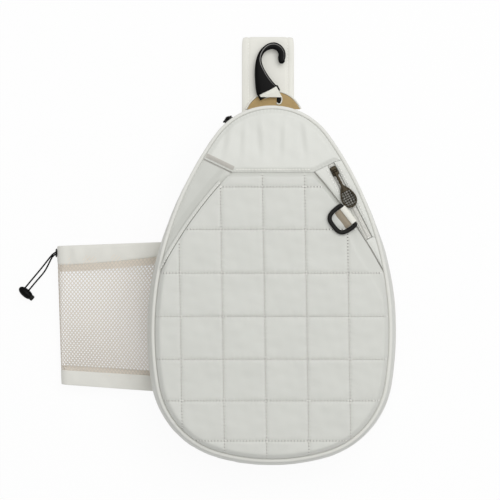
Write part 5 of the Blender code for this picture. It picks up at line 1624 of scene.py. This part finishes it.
@dataclass
class KeyRing:
    """Black ring in a folded webbing tab beside the quilted pocket."""

    cover: FrontCover
    share: float = 0.4466
    inward: float = 0.0007
    turn: float = math.radians(2.4)
    width: float = 0.035
    depth: float = 0.027
    wire: float = 0.0053
    squareness: float = 3.6
    tab_width: float = 0.023
    tab_wall: float = 0.0013
    tab_gap: float = 0.0004
    reach: float = 0.0112
    drop: float = 0.0040

    @property
    def fold_radius(self) -> float:
        """Radius of the webbing's middle line round the bar."""
        return 0.5 * self.wire + self.tab_gap + 0.5 * self.tab_wall

    def place(self) -> Place:
        """Frame on the ring's straight bar.

        Returns:
            The frame, with X along the bar and Y towards the bow.
        """
        spots = self.cover.slash(1.0, self.share + np.array([-1e-4, 0.0, 1e-4]))
        way = unit(spots[2] - spots[0])
        c, s = math.cos(self.turn), math.sin(self.turn)
        along = np.array([c * way[0] - s * way[1], s * way[0] + c * way[1]])
        bow = np.array([along[1], -along[0]])
        spot = spots[1] + bow * self.inward
        return Place.of(np.array([*spot, 0.5 * sum(levels("d_ring"))]), [*-along, 0.0], [*bow, 0.0])

    def ring(self) -> Surface:
        """Round wire along a straight bar and half a superellipse.

        Returns:
            The ring, with its corners eased by averaging neighbouring points.
        """
        reach, depth = 0.5 * (self.width - self.wire), self.depth - self.wire
        turn = np.linspace(0.0, math.pi, 120)
        power = 2.0 / self.squareness
        across, along = power_wave(np.cos(turn), power), np.abs(np.sin(turn)) ** power
        line = resample(np.column_stack([reach * across, depth * along]), 150, True)
        for _ in range(6):
            line = 0.5 * line + 0.25 * (np.roll(line, 1, axis=0) + np.roll(line, -1, axis=0))
        path = at_level(line, 0.0)
        side = np.cross(headings(path, True), UP)
        return sweep(path, side, UP, rounded(self.wire, self.wire, 2.3, 18), closed=True)

    def ribbon(self, line: Array) -> Surface:
        """Carry the webbing's flat profile along a line of Y and Z in the ring's frame."""
        path, normal = upright(line)
        return sweep(path, EAST, normal, rounded(self.tab_width, self.tab_wall, 6.0, 26))

    def fold(self) -> Surface:
        """Outer webbing: it turns over the bar and goes down to the cloth on the far side."""
        round_bar = self.fold_radius * spokes(np.linspace(0.22, 1.12, 28) * math.pi)
        return self.ribbon(resample(np.vstack([round_bar, round_bar[-1] + [0.0012, -0.0022]]), 40))

    def flap(self) -> Surface:
        """Webbing below the bar, in a darker brownish grey that is painted shade.

        Returns:
            A ribbon that slopes from under the fold to the cloth inside the ring.
        """
        start = self.fold_radius * spokes(np.array([0.24 * math.pi]))[0] - [0.0004, 0.0014]
        ends = np.array([start, [0.6 * self.reach, -0.2 * self.drop], [self.reach, -self.drop]])
        return self.ribbon(resample(hermite(ends, 0.0008), 16))

    def build(self) -> None:
        """Add the ring and its tab."""
        place = self.place()
        add_piece("key_ring", place.put(self.ring()), MATT, Body.RING, Slot.GLOSS, "d_ring")
        add_piece("key_ring_tab", place.put(self.fold()), WEBBING, Body.FRONT, Slot.WEBBING, "d_ring_tab")
        # The flap's darker colour is painted shade under the fold of the webbing.
        add_piece("key_ring_shaded_flap", place.put(self.flap()), FLAP_SHADE, Body.FRONT, Slot.WEBBING)


@dataclass
class BackPanel:
    """The back wall, its two pads and the inner sleeve for a racket."""

    pad_inset: float = 0.012
    pad_seam: float = 0.0004
    pad_roll: float = 0.012
    channel: Pair = (-0.0405, 0.0325)
    sew_pitch: float = 0.055
    groove: Pair = (0.0026, 0.004)
    sleeve_inset: float = 0.022
    sleeve_top: float = 0.090
    sleeve_rise: float = 0.018
    wall: float = 0.0012

    def pad(self, sign: float) -> Surface:
        """One pad: a crowned form with rounded edges, flat where it lies against the back.

        Args:
            sign: 1 for the right pad and -1 for the left one.

        Returns:
            The pad, whose lower face is drawn in along evenly spaced sewn channels.
        """
        outline = EGG.along(np.linspace(0.0, EGG.girth, 700, endpoint=False), -self.pad_inset)[0]
        edge = self.channel[1] if sign > 0.0 else self.channel[0]
        kept = outline[(outline[:, 0] - edge) * sign > 0.0]
        if sign > 0.0:
            kept = kept[np.argsort(np.unwrap(np.arctan2(kept[:, 1], kept[:, 0] + 0.2)))]
        outline = inset(resample(kept, 300, True), self.pad_seam)
        closed = np.vstack([outline, outline[:1]])[::3]
        high = levels("back_pad_right")[1]

        def ease(x: Array, y: Array) -> Array:
            """Roundness of the edge, from 0 at the outline to 1 inside: a quarter round."""
            share = np.clip(gap_to(x, y, closed) / self.pad_roll, 0.0, 1.0)
            return np.sqrt(1.0 - (1.0 - share) ** 2)

        def upper(x: Array, y: Array) -> Array:
            """Upper face: it lies against the back and rolls down a little at the edge."""
            return high - 0.35 * high * (1.0 - ease(x, y))

        def lower(x: Array, y: Array) -> Array:
            """Underside: it bears on the floor between the channels, which are bell curves.

            Args:
                x: Places across.
                y: Places up.

            Returns:
                The heights.
            """
            share = np.mod(y / self.sew_pitch, 1.0)
            away = self.sew_pitch * np.minimum(share, 1.0 - share)
            groove = self.groove[0] * np.exp(-((away / self.groove[1]) ** 2))
            return 0.5 * high * (1.0 - ease(x, y)) + groove * ease(x, y)

        return patch(outline, tuple(outline.mean(axis=0)), upper, lower, 40, 60)

    def sleeve(self) -> Surface:
        """Inner sleeve.

        Returns:
            A thin sheet that stands off the back and comes down to it round its seam.
        """
        low, high = levels("racket_sleeve")
        end = EGG.run_at(self.sleeve_top)
        rim = EGG.along(np.linspace(-end, end, 260), -self.sleeve_inset)[0]
        rim = rim[rim[:, 1] < self.sleeve_top]
        coarse, foot = rim[::5], low + 2.0 * self.wall

        def roof(x: Array, y: Array) -> Array:
            """Height of the sheet: a smooth rise from the seam."""
            return foot + (high - foot) * smooth(depth_inside(x, y, coarse) / self.sleeve_rise)

        def ceiling(x: Array, y: Array) -> Array:
            """Its inner face."""
            return roof(x, y) - self.wall

        return patch(resample(rim, 320, True), (0.0, -0.01), roof, ceiling, 50, 50)

    def build(self) -> None:
        """Add the back wall, the pads and the sleeve."""
        low, high = levels("back_panel")
        outline = EGG.along(np.linspace(0.0, EGG.girth, 400, endpoint=False))[0]
        wall = patch(outline, (0.0, 0.05), high, low, 24, 24)
        add_piece("back_wall_cloth", wall, LINING, Body.BACK, Slot.CREAM, "back_panel")
        for side, sign in (("left", -1.0), ("right", 1.0)):
            pad = self.pad(sign)
            item = add_piece(f"back_cushion_{side}", pad, PAD, Body.BACK, Slot.PAD, f"back_pad_{side}")
        add_piece("racket_sleeve_cloth", self.sleeve(), LINING, Body.BACK, Slot.SATIN, "racket_sleeve")


@dataclass
class ShoulderStrap:
    """Wide padded strap folded over at the top, its webbing, wing and slider."""

    width: float = 0.065
    centre: float = -0.004
    thickness: float = 0.0046
    stack: float = 0.010
    fold: float = 0.3645
    fold_waist: Pair = (0.035, 0.007)
    sewn_end: float = 0.236
    lower_end: float = -0.060
    seam: float = 0.0245
    groove: Pair = (0.0007, 0.0016)

    def middle(self) -> tuple[Array, Array]:
        """Middle line of the strap: a lower run, a half turn and an upper run.

        Returns:
            Its points and its normals.
        """
        half, level = 0.5 * self.stack, 0.5 * self.thickness
        turn_y = self.fold - half
        low = np.column_stack([np.linspace(self.lower_end, turn_y, 120), np.full(120, level)])
        arc = [turn_y, half] + (half - level) * spokes(np.linspace(-0.5, 0.5, 26)[1:-1] * math.pi)
        high = np.column_stack([np.linspace(turn_y, self.sewn_end, 50), np.full(50, self.stack - level)])
        return upright(np.vstack([low, arc, high]), self.centre)

    def half_thickness(self, across: Array) -> Array:
        """Half the thickness: a root of a power that rounds the edges, less a bell at each stitch line."""
        full = 0.5 * self.thickness * np.clip(1.0 - np.abs(2.0 * across / self.width) ** 9, 0.0, 1.0) ** 0.5
        return full - self.groove[0] * np.exp(-(((np.abs(across) - self.seam) / self.groove[1]) ** 2))

    def build(self) -> None:
        """Add the strap with its stitching, the webbing, the wing and the slider."""
        path, normal = self.middle()
        across = 0.5 * self.width * np.sin(np.linspace(-0.5, 0.5, 61) * math.pi)
        thick = self.half_thickness(across)
        profile = np.column_stack([np.append(across, across[::-1]), np.append(thick, -thick[::-1])])
        depth, reach = self.fold_waist
        narrow = 1.0 - depth * np.exp(-(((path[:, 1] - self.fold) / reach) ** 2))
        shape = np.tile(profile, (len(path), 1, 1))
        shape[..., 0] *= narrow[:, None]
        pad = sweep(path, EAST, normal, shape)
        item = add_piece("strap_pad", pad, STRAP, Body.BACK, Slot.STRAP, "shoulder_strap")
        sink = self.half_thickness(np.array([self.seam]))
        upper = path[:, 2] > 0.5 * self.stack
        flat = path[:, 1] < self.fold - 0.5 * self.stack
        rows = []
        for sign in (-1.0, 1.0):
            line = path - normal * sink + sign * self.seam * EAST
            rows += [SEWN.along(line[part], -normal[part]) for part in (flat & upper, flat & ~upper)]
        sew("strap_seams", rows, Body.BACK, Slot.STRAP)
        low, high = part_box("strap_webbing")
        size = high - low
        run, widths, heights = np.linspace(low.y, high.y, 40), np.full(40, size.x), np.full(40, size.z)
        ribbon = bar(run, widths, heights, 7.0, 30, self.centre, 0.5 * (low.z + high.z))
        add_piece("strap_ribbon", ribbon, WEBBING, Body.BACK, Slot.WEBBING, "strap_webbing")
        self.add_wing(size.x)
        redress("strap_slider", GLOSS)

    def add_wing(self, narrow: float) -> None:
        """Add the padded wing at the webbing's lower end: a flat pad that widens to the seam.

        Args:
            narrow: Its width at the webbing.
        """
        low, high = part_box("strap_wing")
        swell = 0.82 + 0.18 * np.sin(np.linspace(0.1, 0.9, 20) * math.pi)
        run, widths = np.linspace(low.y, high.y, 20), np.linspace(high.x - low.x, narrow, 20)
        wing = bar(run, widths, (high.z - low.z) * swell, 5.0, 30, self.centre, 0.5 * (low.z + high.z))
        item = add_piece("strap_wing_pad", wing, COVER, Body.BACK, Slot.CREAM, "strap_wing")


@dataclass
class HookSet:
    """Black hook on a webbing loop, on a tan half-moon tab with a cream edge."""

    centre: Pair = (0.003, 0.2593)
    radius: float = 0.0357
    binding: float = 0.0019
    binding_gap: float = 0.0003
    binding_over: float = 0.0008
    bar: Pair = (-0.0024, 0.2927)
    tilt: float = math.radians(28.0)
    thickness: float = 0.0056
    bar_radius: float = 0.0024
    rail: float = 0.0018
    rail_spacing: float = 0.0262
    rail_tail: float = 0.0028
    rail_reach: Pair = (0.0090, 0.0050)
    roundness: float = 2.8
    moulding_size: Pair = (0.0011, 0.0007)
    moulding_marks: tuple[float, ...] = (0.0, 0.3, 0.5, 0.65, 1.0)
    moulding_lean: tuple[float, ...] = (-0.84, -0.7, -0.2, 0.4, 0.6)
    loop_wall: float = 0.0016
    loop_gap: float = 0.0004
    loop_play: float = 0.0008
    loop_foot: float = 0.0050
    loop_tail: float = 0.0052
    loop_cut: float = 0.0115
    keeper: Pair = (0.0095, 0.2857)
    keeper_size: Triple = (0.0056, 0.0096, 0.0014)
    keeper_cord: Triple = (0.0037, 0.0058, 0.0016)
    edges: tuple[tuple[float, float, float, float], ...] = (
        (-0.0155, -0.0025, 0.0110, 0.0082),
        (-0.0170, 0.0058, 0.0066, 0.0123),
        (-0.0179, 0.0158, 0.0010, 0.0191),
        (-0.0182, 0.0253, -0.0038, 0.0263),
        (-0.0178, 0.0343, -0.0078, 0.0342),
        (-0.0162, 0.0433, -0.0095, 0.0416),
        (-0.0128, 0.0516, -0.0080, 0.0479),
        (-0.0072, 0.0583, -0.0040, 0.0525),
        (0.0002, 0.0627, 0.0018, 0.0549),
        (0.0076, 0.0634, 0.0068, 0.0545),
        (0.0144, 0.0601, 0.0102, 0.0517),
        (0.0193, 0.0535, 0.0113, 0.0479),
        (0.0204, 0.0469, 0.0107, 0.0443),
        (0.0193, 0.0419, 0.0113, 0.0403),
    )

    def place(self) -> Place:
        """Frame on the hook's bar: X along the bar, which lies askew."""
        c, s = math.cos(self.tilt), math.sin(self.tilt)
        return Place.of(np.array([*self.bar, 0.5 * sum(levels("hook_loop"))]), [c, s, 0.0], [-s, c, 0.0])

    def sides(self) -> tuple[Array, Array]:
        """Follow the hook from its base to its tip, which is half a circle.

        Returns:
            Middle points and half widths, as flat vectors.
        """
        pairs = hermite(np.array(self.edges), 0.0012)
        middle, half = 0.5 * (pairs[:, :2] + pairs[:, 2:]), 0.5 * (pairs[:, :2] - pairs[:, 2:])
        turn = np.linspace(0.06, 0.48, 9)[:, None] * math.pi
        ahead = np.array([half[-1, 1], -half[-1, 0]])
        middle = np.vstack([middle, middle[-1] + np.sin(turn) * ahead])
        return middle + np.array(self.bar), np.vstack([half, np.cos(turn) * half[-1]])

    def hook(self) -> Surface:
        """Hook with its rails and bar.

        Returns:
            A rounded profile between the hook's two edges, thinner towards the tip, and the rest.
        """
        place = self.place()
        middle, half = self.sides()
        ring = rounded(2.0, self.thickness, self.roundness, 30)
        width = np.linalg.norm(half, axis=1)
        thin = np.where(np.arange(len(width)) < len(width) - 9, 1.0, 0.35 + 0.65 * width / width[-10])
        flat = middle[:, None] + ring[:, :1] * half[:, None]
        body = skin(at_level(flat, place.origin[2] + ring[:, 1] * thin[:, None]))
        end = 0.5 * self.rail_spacing
        parts = []
        for x, reach in zip((-end, end), self.rail_reach):
            rail = pebble((self.rail, reach + self.rail_tail, self.thickness), 4.0, 12, 24)
            parts.append(rail.moved((x, 0.5 * (reach - self.rail_tail), 0.0)))
        parts.append(rod(-end * EAST, end * EAST, self.bar_radius, 18))
        return Surface.joined([body, *(place.put(part) for part in parts)])

    def moulding(self) -> Surface:
        """Fine raised line on the hook, light grey as a painted highlight.

        Returns:
            A thin profile from the inner edge at the base to the outer edge at the top.
        """
        middle, half = (values[4:-9] for values in self.sides())
        lean = np.interp(np.linspace(0.0, 1.0, len(middle)), self.moulding_marks, self.moulding_lean)
        rise = (1.0 - np.abs(lean) ** self.roundness) ** (1.0 / self.roundness)
        path = at_level(middle + lean[:, None] * half, self.place().origin[2] + 0.5 * self.thickness * rise)
        fade = np.sin(np.linspace(0.12, 0.95, len(path)) * math.pi)[:, None, None]
        return sweep(path, unit(at_level(half, 0.0)), UP, rounded(*self.moulding_size, 2.0, 8) * fade)

    def loop(self) -> Surface:
        """Webbing round the bar.

        Returns:
            A ribbon that comes from the tab, turns over the bar and comes down again. Both ends are
            cut slantwise, so that they are level while the bar lies askew.
        """
        radius = self.bar_radius + self.loop_gap + 0.5 * self.loop_wall
        round_bar = radius * spokes(np.linspace(-0.5, 0.60, 34) * math.pi)
        first = np.array([[-self.loop_foot, -radius], [-0.5 * self.loop_foot, -radius]])
        line = np.vstack([first, round_bar, [[-self.loop_tail, 0.62 * radius]]])
        path, normal = upright(resample(hermite(line, 0.0005), 60))
        profile = rounded(self.rail_spacing - self.rail - self.loop_play, self.loop_wall, 6.0, 40)
        points = path[:, None] + profile[:, :1] * EAST + profile[:, 1:] * normal[:, None]
        row = np.arange(60)[:, None]
        late, early = smooth((row - 38.0) / 21.0), smooth((14.0 - row) / 14.0)
        longer = math.tan(self.tilt) * np.maximum(profile[:, 0], -self.loop_cut)
        points[..., 1] -= late * longer + 0.6 * early * np.minimum(longer, 0.0)
        points[..., 2] -= 0.35 * late * longer
        return skin(points)

    def build(self) -> None:
        """Add the tab, its edge, the loop and the hook."""
        low, high = levels("hook_tab")
        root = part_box("hook_tab")[0].y
        start = math.asin((root - self.centre[1]) / self.radius)
        out = spokes(np.linspace(start, math.pi - start, 90))

        def top(x: Array, y: Array) -> Array:
            """Upper face of the tab, with soft waves."""
            return high + 0.0002 * ripples(x, y, 0.02, 51)

        outline = resample(np.array(self.centre) + self.radius * out, 260, True)
        tab = patch(outline, (self.centre[0], root + 0.008), top, low, 30, 6)
        add_piece("tan_tab", tab, TAN, Body.BACK, Slot.TAN, "hook_tab")
        edge = np.array(self.centre) + (self.radius + self.binding_gap + 0.5 * self.binding) * out
        rim = sweep(at_level(edge, 0.5 * (low + high)), at_level(out, 0.0), UP,
                    rounded(self.binding, high - low + self.binding_over, 3.0, 16))
        add_piece("tan_tab_edge", rim, WEBBING, Body.BACK, Slot.WEBBING, "hook_tab_binding")
        loop = self.place().put(self.loop())
        add_piece("hook_webbing", loop, WEBBING, Body.BACK, Slot.WEBBING, "hook_loop")
        add_piece("fence_hook", self.hook(), GLOSS, Body.HOOK, Slot.GLOSS, "hook")
        # The raised line's light grey is a painted highlight.
        add_piece("fence_hook_highlight_line", self.moulding(), GLINT, Body.HOOK, Slot.GLOSS)
        self.add_keeper(high)

    def add_keeper(self, level: float) -> None:
        """Add the black keeper that holds the webbing to the tab, with a cream cord round it.

        Args:
            level: Level of the tab's upper face.
        """
        plate = pebble(self.keeper_size, 2.6, 8, 28).moved((*self.keeper, level + 0.0008))
        add_piece("webbing_keeper", plate, GLOSS, Body.BACK, Slot.GLOSS)
        *radii, cord = self.keeper_cord
        turn = np.linspace(-0.75, 0.5, 40) * math.pi
        path = at_level(np.array(self.keeper) + np.array(radii) * spokes(turn), level + 0.0009)
        loop = sweep(path, np.cross(headings(path), UP), UP, rounded(cord, cord, 2.0, 10))
        add_piece("webbing_keeper_cord", loop, WEBBING, Body.BACK, Slot.WEBBING)


@dataclass
class NetPocket:
    """Flat net pocket on the left: a net folded round its left edge, a corded hem and a base.

    Heights of the hem, the base and the backing are shares of the pocket's own.
    """

    wall: SideWall
    top_left: Pair = (-0.2667, 0.1034)
    bottom_left: Pair = (-0.2611, -0.0684)
    top_right: float = 0.1084
    bottom_right: float = -0.0772
    side_gap: float = 0.0012
    lift: float = 0.0004
    depth: float = 0.020
    cloth: float = 0.001
    proud: float = 0.0003
    tunnel: float = 0.0034
    hem: Pair = (0.097, 0.139)
    base: float = 0.105
    straight: float = 0.44
    girth: float = 0.251
    tall: float = 0.172
    cell: Pair = (0.0045, 0.0053)
    phase: float = 0.0008
    swing: float = 0.00025
    yarn: Pair = (0.00145, 0.0006)
    yarn_depth: Pair = (0.0002, 0.0006)
    tucked: float = 0.004
    gather: float = 0.0011
    backing: Pair = (0.047, 0.026)
    backing_depth: Pair = (0.0016, 0.0019)
    end_wall: float = 0.006

    @cached_property
    def shares(self) -> Array:
        """Shares of the way round the fold where the bands of cloth have their rows."""
        return np.linspace(0.0, 1.0, 161)

    def point(self, share: Array, up: Array | float, under: Array | float) -> Array:
        """Points of the folded cloth.

        Args:
            share: Share of the way from the upper right edge round the fold to the lower one.
            up: Share of the way from the base to the hem's mouth.
            under: Depth under the outer face.

        Returns:
            Points: straight runs above and below, joined by a half turn at the left.
        """
        share, up, under = np.broadcast_arrays(share, up, under)
        low, high = np.array(self.bottom_left), np.array(self.top_left)
        left_x, left_y = np.moveaxis(low + up[..., None] * (high - low), -1, 0)
        right_y = self.bottom_right + (self.top_right - self.bottom_right) * up
        right_x = -EGG.half_width(right_y, float(self.wall.offset(self.lift + self.depth)) + self.side_gap)
        radius = 0.5 * self.depth - under
        turn_x = left_x + 0.5 * self.depth
        flat = np.minimum(share, 1.0 - share) / self.straight
        angle = math.pi * (0.5 + np.clip((share - self.straight) / (1.0 - 2.0 * self.straight), 0.0, 1.0))
        x = np.where(flat < 1.0, right_x + (turn_x - right_x) * flat, turn_x + radius * np.cos(angle))
        y = left_y + (right_y - left_y) * (x - left_x) / (right_x - left_x)
        return np.stack([x, y, self.lift + 0.5 * self.depth + radius * np.sin(angle)], axis=-1)

    def yarns(self, first: float, last: float) -> Surface:
        """Part of the net: two families of slanting yarns that swing apart between crossings.

        Args:
            first: Share of the way round the fold where this part starts.
            last: Share where it ends.

        Returns:
            The yarns, as flat strands along lines of a fixed slope.
        """
        rise = np.linspace(0.0, (1.0 - self.hem[0] - self.base) * self.tall + 2.0 * self.tucked, 110)
        height = self.base * self.tall - self.tucked + rise
        wide, high = self.cell
        reach = math.ceil(rise[-1] / high)
        swing = self.swing * np.sin(4.0 * math.pi * rise / high)
        parts = []
        for sign, deep in zip((-1.0, 1.0), self.yarn_depth):
            for step in range(-reach, math.ceil(self.girth / wide) + reach):
                run = self.phase + step * wide + sign * rise * wide / high + swing
                keep = (run > first * self.girth) & (run < last * self.girth)
                if keep.sum() < 4:
                    continue
                share, up = run[keep] / self.girth, height[keep] / self.tall
                path = self.point(share, up, deep)
                out = unit(self.point(share, up, deep - 0.001) - path)
                side = unit(np.cross(headings(path), out))
                parts.append(sweep(path, side, out, rounded(*self.yarn, 2.0, 4)))
        return Surface.joined(parts)

    def tube(self, low: Array | float, high: Array | float, skins: Pair, seed: int,
             gather: float) -> Surface:
        """A flat closed band of cloth round the fold, with rounded edges and soft gathers.

        Args:
            low: Height of its lower edge, one for all or one for each share round the fold.
            high: Height of its upper edge.
            skins: Depths of its two faces.
            seed: Picks the gathers.
            gather: Height of the gathers.

        Returns:
            The band, a rounded profile carried round the fold.
        """
        share = self.shares[:, None]
        ring = rounded(1.0, 1.0, 5.0, 30)
        low, high = (np.reshape(edge, (-1, 1)) for edge in (low, high))
        up = 0.5 * (low + high) + (high - low) * ring[:, 0]
        under = 0.5 * (skins[0] + skins[1]) + (skins[1] - skins[0]) * ring[:, 1]
        waves = gather * ripples(share * self.girth, up * self.tall * 0.4, 0.022, seed)
        waves = waves * (1.0 - 4.0 * ring[:, 0] ** 2) * smooth((self.straight - share) / 0.03)
        return skin(self.point(share, up, under + waves * (ring[:, 1] < 0.0)))

    def end_cloth(self) -> Surface:
        """The base's lower end.

        Returns:
            Rows from the upper cloth to the lower one, two levels thick.
        """
        across = np.linspace(0.0, 0.499, 40)[:, None]
        between = np.linspace(0.0, 1.0, 10)[:, None]
        faces = []
        for up in (0.0, self.end_wall):
            upper, lower = (self.point(share, up, self.cloth) for share in (across, 1.0 - across))
            faces.append(upper + between * (lower - upper))
        return skin(np.concatenate([faces[0], faces[1][:, ::-1]], axis=1))

    def build(self) -> None:
        """Add the net, the hem, the base and the hidden runs of the cord."""
        add_piece("ball_net", self.yarns(0.0, 0.5), NET, Body.BACK, Slot.NET, "pocket_net")
        # The back layer's lighter yarn is painted light.
        add_piece("ball_net_back", self.yarns(0.5, 1.0), LIT_INNER_NET, Body.BACK, Slot.NET, "pocket_back")
        edge = 1.0 - self.hem[1] + (self.hem[1] - self.hem[0]) * (2.0 * self.shares - 1.0) ** 2
        hem = self.tube(edge, 1.0, (-self.proud, 2.0 * self.cloth + self.tunnel), 61, self.gather)
        add_piece("net_hem", hem, HEM, Body.BACK, Slot.CREAM, "pocket_hem", "pocket_hem_facing")
        base = self.tube(0.0, self.base, (-self.proud, self.cloth), 62, 0.5 * self.gather)
        add_piece("net_base", base, HEM, Body.BACK, Slot.CREAM, "pocket_base")
        for name, low, high in (("hem", edge - self.backing[0], edge + 0.01),
                                ("base", self.base - 0.01, self.base + self.backing[1])):
            band = self.tube(low, high, self.backing_depth, 63, 0.0)
            add_piece(f"net_{name}_backing", band, BACKING, Body.BACK, Slot.NET)
        add_piece("net_base_end", self.end_cloth(), HEM, Body.BACK, Slot.CREAM, "pocket_base_end")
        for node in ("drawcord_hem_front", "drawcord_hem_back"):
            redress(node, CORD)


@dataclass
class DrawCord:
    """Eyelet in the hem, the two free strands of the cord, and the sprung lock on them."""

    pocket: NetPocket
    diameter: float = 0.002
    strand_gap: float = 0.0003
    spacing: float = 0.0055
    eyelet_y: float = 0.0947
    eyelet: Pair = (0.0029, 0.0055)
    lock_centre: Pair = (-0.3062, 0.0447)
    heading: Pair = (0.64, 0.768)
    lock: Pair = (0.021, 0.0105)
    lock_lip: Pair = (0.0004, 0.0006)
    bore_x: float = -0.0022
    bore_gap: float = 0.0004
    bend: Triple = (0.006, 0.003, 0.0012)
    exit_gap: float = 0.001
    tuck: float = 0.0007
    straight: float = 0.036
    tail: float = 0.0045
    seat: float = 0.00255
    spring: float = 0.0032
    spring_turns: int = 4
    wire: float = 0.0006
    pressed: float = 0.36
    button: Pair = (0.0034, 0.006)
    button_sunk: float = 0.0012
    spring_gap: float = 0.0009

    def __post_init__(self) -> None:
        """Work out where the eyelet and the lock are."""
        p = self.pocket
        share = (self.eyelet_y - p.bottom_left[1]) / (p.top_left[1] - p.bottom_left[1])
        self.eyelet_x = p.bottom_left[0] + share * (p.top_left[0] - p.bottom_left[0])
        self.middle = p.lift + 0.5 * p.depth
        self.way = unit(np.array([*self.heading, 0.0]))
        self.across = np.array([self.way[1], -self.way[0], 0.0])
        origin = np.array([*self.lock_centre, 0.5 * sum(levels("cord_lock"))])
        self.place = Place.of(origin, self.across, self.way)

    def route(self, sign: float) -> Array:
        """Lay one strand.

        Args:
            sign: 1 for the strand on the button's side and -1 for the other.

        Returns:
            Points from the hem's tunnel through the eyelet to the strand's end in the lock.
        """
        foot = self.place.origin + self.across * (self.bore_x + sign * 0.5 * self.spacing)
        y = self.eyelet_y - sign * (0.5 * self.diameter + self.strand_gap)
        inside = self.pocket.cloth + 0.5 * self.pocket.tunnel - self.tuck
        return np.array([
            [self.eyelet_x + inside, y, self.middle],
            [self.eyelet_x - self.exit_gap, y, self.middle],
            [self.eyelet_x - self.bend[0], y - self.bend[1], self.middle - self.bend[2]],
            foot + self.way * self.straight,
            foot + self.way * 0.5 * self.straight,
            foot,
            foot - self.way * self.tail,
        ])

    def add_strand(self, letter: str, sign: float) -> None:
        """Args:
            letter: What tells its name from the other's.
            sign: 1 for the strand on the button's side and -1 for the other.
        """
        points = hermite(self.route(sign), 0.0025)
        data = bpy.data.curves.new(f"cord_strand_{letter}", "CURVE")
        data.dimensions = "3D"
        data.bevel_depth = 0.5 * self.diameter
        data.bevel_resolution = 4
        data.use_fill_caps = True
        line = data.splines.new("POLY")
        line.points.add(len(points) - 1)
        line.points.foreach_set("co", np.column_stack([points, np.ones(len(points))]).ravel())
        line.use_smooth = True
        item = add_piece(data.name, data, CORD, Body.BACK, Slot.CORD, f"drawcord_strand_{letter}")

    def turned(self, runs: Array, radii: Array, flutes: int) -> Surface:
        """A shape turned about the lock's long axis.

        Args:
            runs: Places along the axis.
            radii: Radius at each.
            flutes: Number of shallow flutes.

        Returns:
            The shape, in the bag's frame.
        """
        turn = circle(48)
        ring = spokes(turn) * (1.0 + 0.035 * np.cos(flutes * turn))[:, None]
        path = np.column_stack([runs, np.zeros((len(runs), 2))])
        return self.place.put(sweep(path, NORTH, UP, ring * radii[:, None, None]))

    def add_barrel(self) -> bpy.types.Object:
        """Add the lock's barrel: an oval cut off at the button's end, with a bore down to the seat.

        Returns:
            The barrel.
        """
        half, radius = 0.5 * self.lock[0], 0.5 * self.lock[1]
        end = self.seat + self.spring + self.button_sunk
        run = np.append(-half * np.cos(np.linspace(0.06, 0.5, 18) * math.pi), np.linspace(0.0006, end, 12))
        radii = radius * np.sqrt(1.0 - (run / half) ** 2) ** 0.9
        lip, inner = end + self.lock_lip[0], self.button[0] + self.bore_gap
        run = np.append(run, [lip, lip, self.seat])
        radii = np.append(radii, [radii[-1] - self.lock_lip[1], inner, inner])
        barrel = self.turned(run, radii, 12)
        return add_piece("lock_barrel", barrel, GLOSS, Body.LOCK, Slot.GLOSS, "cord_lock")

    def add_lock(self) -> tuple[bpy.types.Object, bpy.types.Object]:
        """Add the lock's barrel, its button and the spring between them.

        Returns:
            The barrel and the button.
        """
        barrel = self.add_barrel()
        run = self.seat + self.spring + self.button[1] * np.array([0.0, 0.02, 0.2, 0.5, 0.8, 0.92, 0.98, 1.0])
        radii = self.button[0] * np.array([0.9, 1.0, 1.0, 1.0, 1.0, 0.95, 0.8, 0.6])
        button = add_piece("lock_button", self.turned(run, radii, 16), MATT, Body.BUTTON, Slot.DARK,
                           "cord_lock_button")
        share = np.linspace(0.0, 1.0, 140)
        out = np.column_stack([np.zeros(140), spokes(2.0 * math.pi * self.spring_turns * share)])
        lead = self.seat + self.wire + (self.spring - 2.0 * self.wire) * share
        path = (self.button[0] - self.spring_gap) * out + lead[:, None] * EAST
        wire = sweep(path, np.cross(headings(path), out), out, rounded(self.wire, self.wire, 2.0, 8))
        coil = add_piece("lock_spring", self.place.put(wire), STEEL, Body.LOCK, Slot.STEEL,
                         "cord_lock_spring")
        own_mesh(coil)
        return barrel, button

    def add_eyelet(self) -> None:
        """Add the eyelet: a rounded flange round the hole in the hem."""
        inner, outer = self.eyelet
        out = np.column_stack([np.zeros(48), spokes(circle(48))])
        low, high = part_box("eyelet")
        centre = np.array([0.5 * (low.x + high.x), self.eyelet_y, self.middle])
        flange = rounded(outer - inner, high.x - low.x, 2.4, 16)
        ring = sweep(centre + 0.5 * (inner + outer) * out, out, -EAST, flange, closed=True)
        add_piece("hem_eyelet", ring, GLOSS, Body.BACK, Slot.GLOSS, "eyelet")

    def build(self) -> None:
        """Add the eyelet, the lock and both strands."""
        self.add_eyelet()
        barrel, button = self.add_lock()
        self.add_strand("a", -1.0)
        self.add_strand("b", 1.0)


def main() -> None:
    """Build the studio and every sub-assembly."""
    logging.basicConfig(level=logging.INFO, format="%(name)s: %(message)s")
    Studio().build()
    wall = SideWall()
    pocket = NetPocket(wall)
    DrawCord(pocket).build()
    wall.build()
    cover = FrontCover()
    cover.build()
    ZipHardware(cover, wall).build()
    KeyRing(cover).build()
    BackPanel().build()
    ShoulderStrap().build()
    HookSet().build()
    pocket.build()
    bpy.context.view_layer.update()


if __name__ == "__main__":
    main()
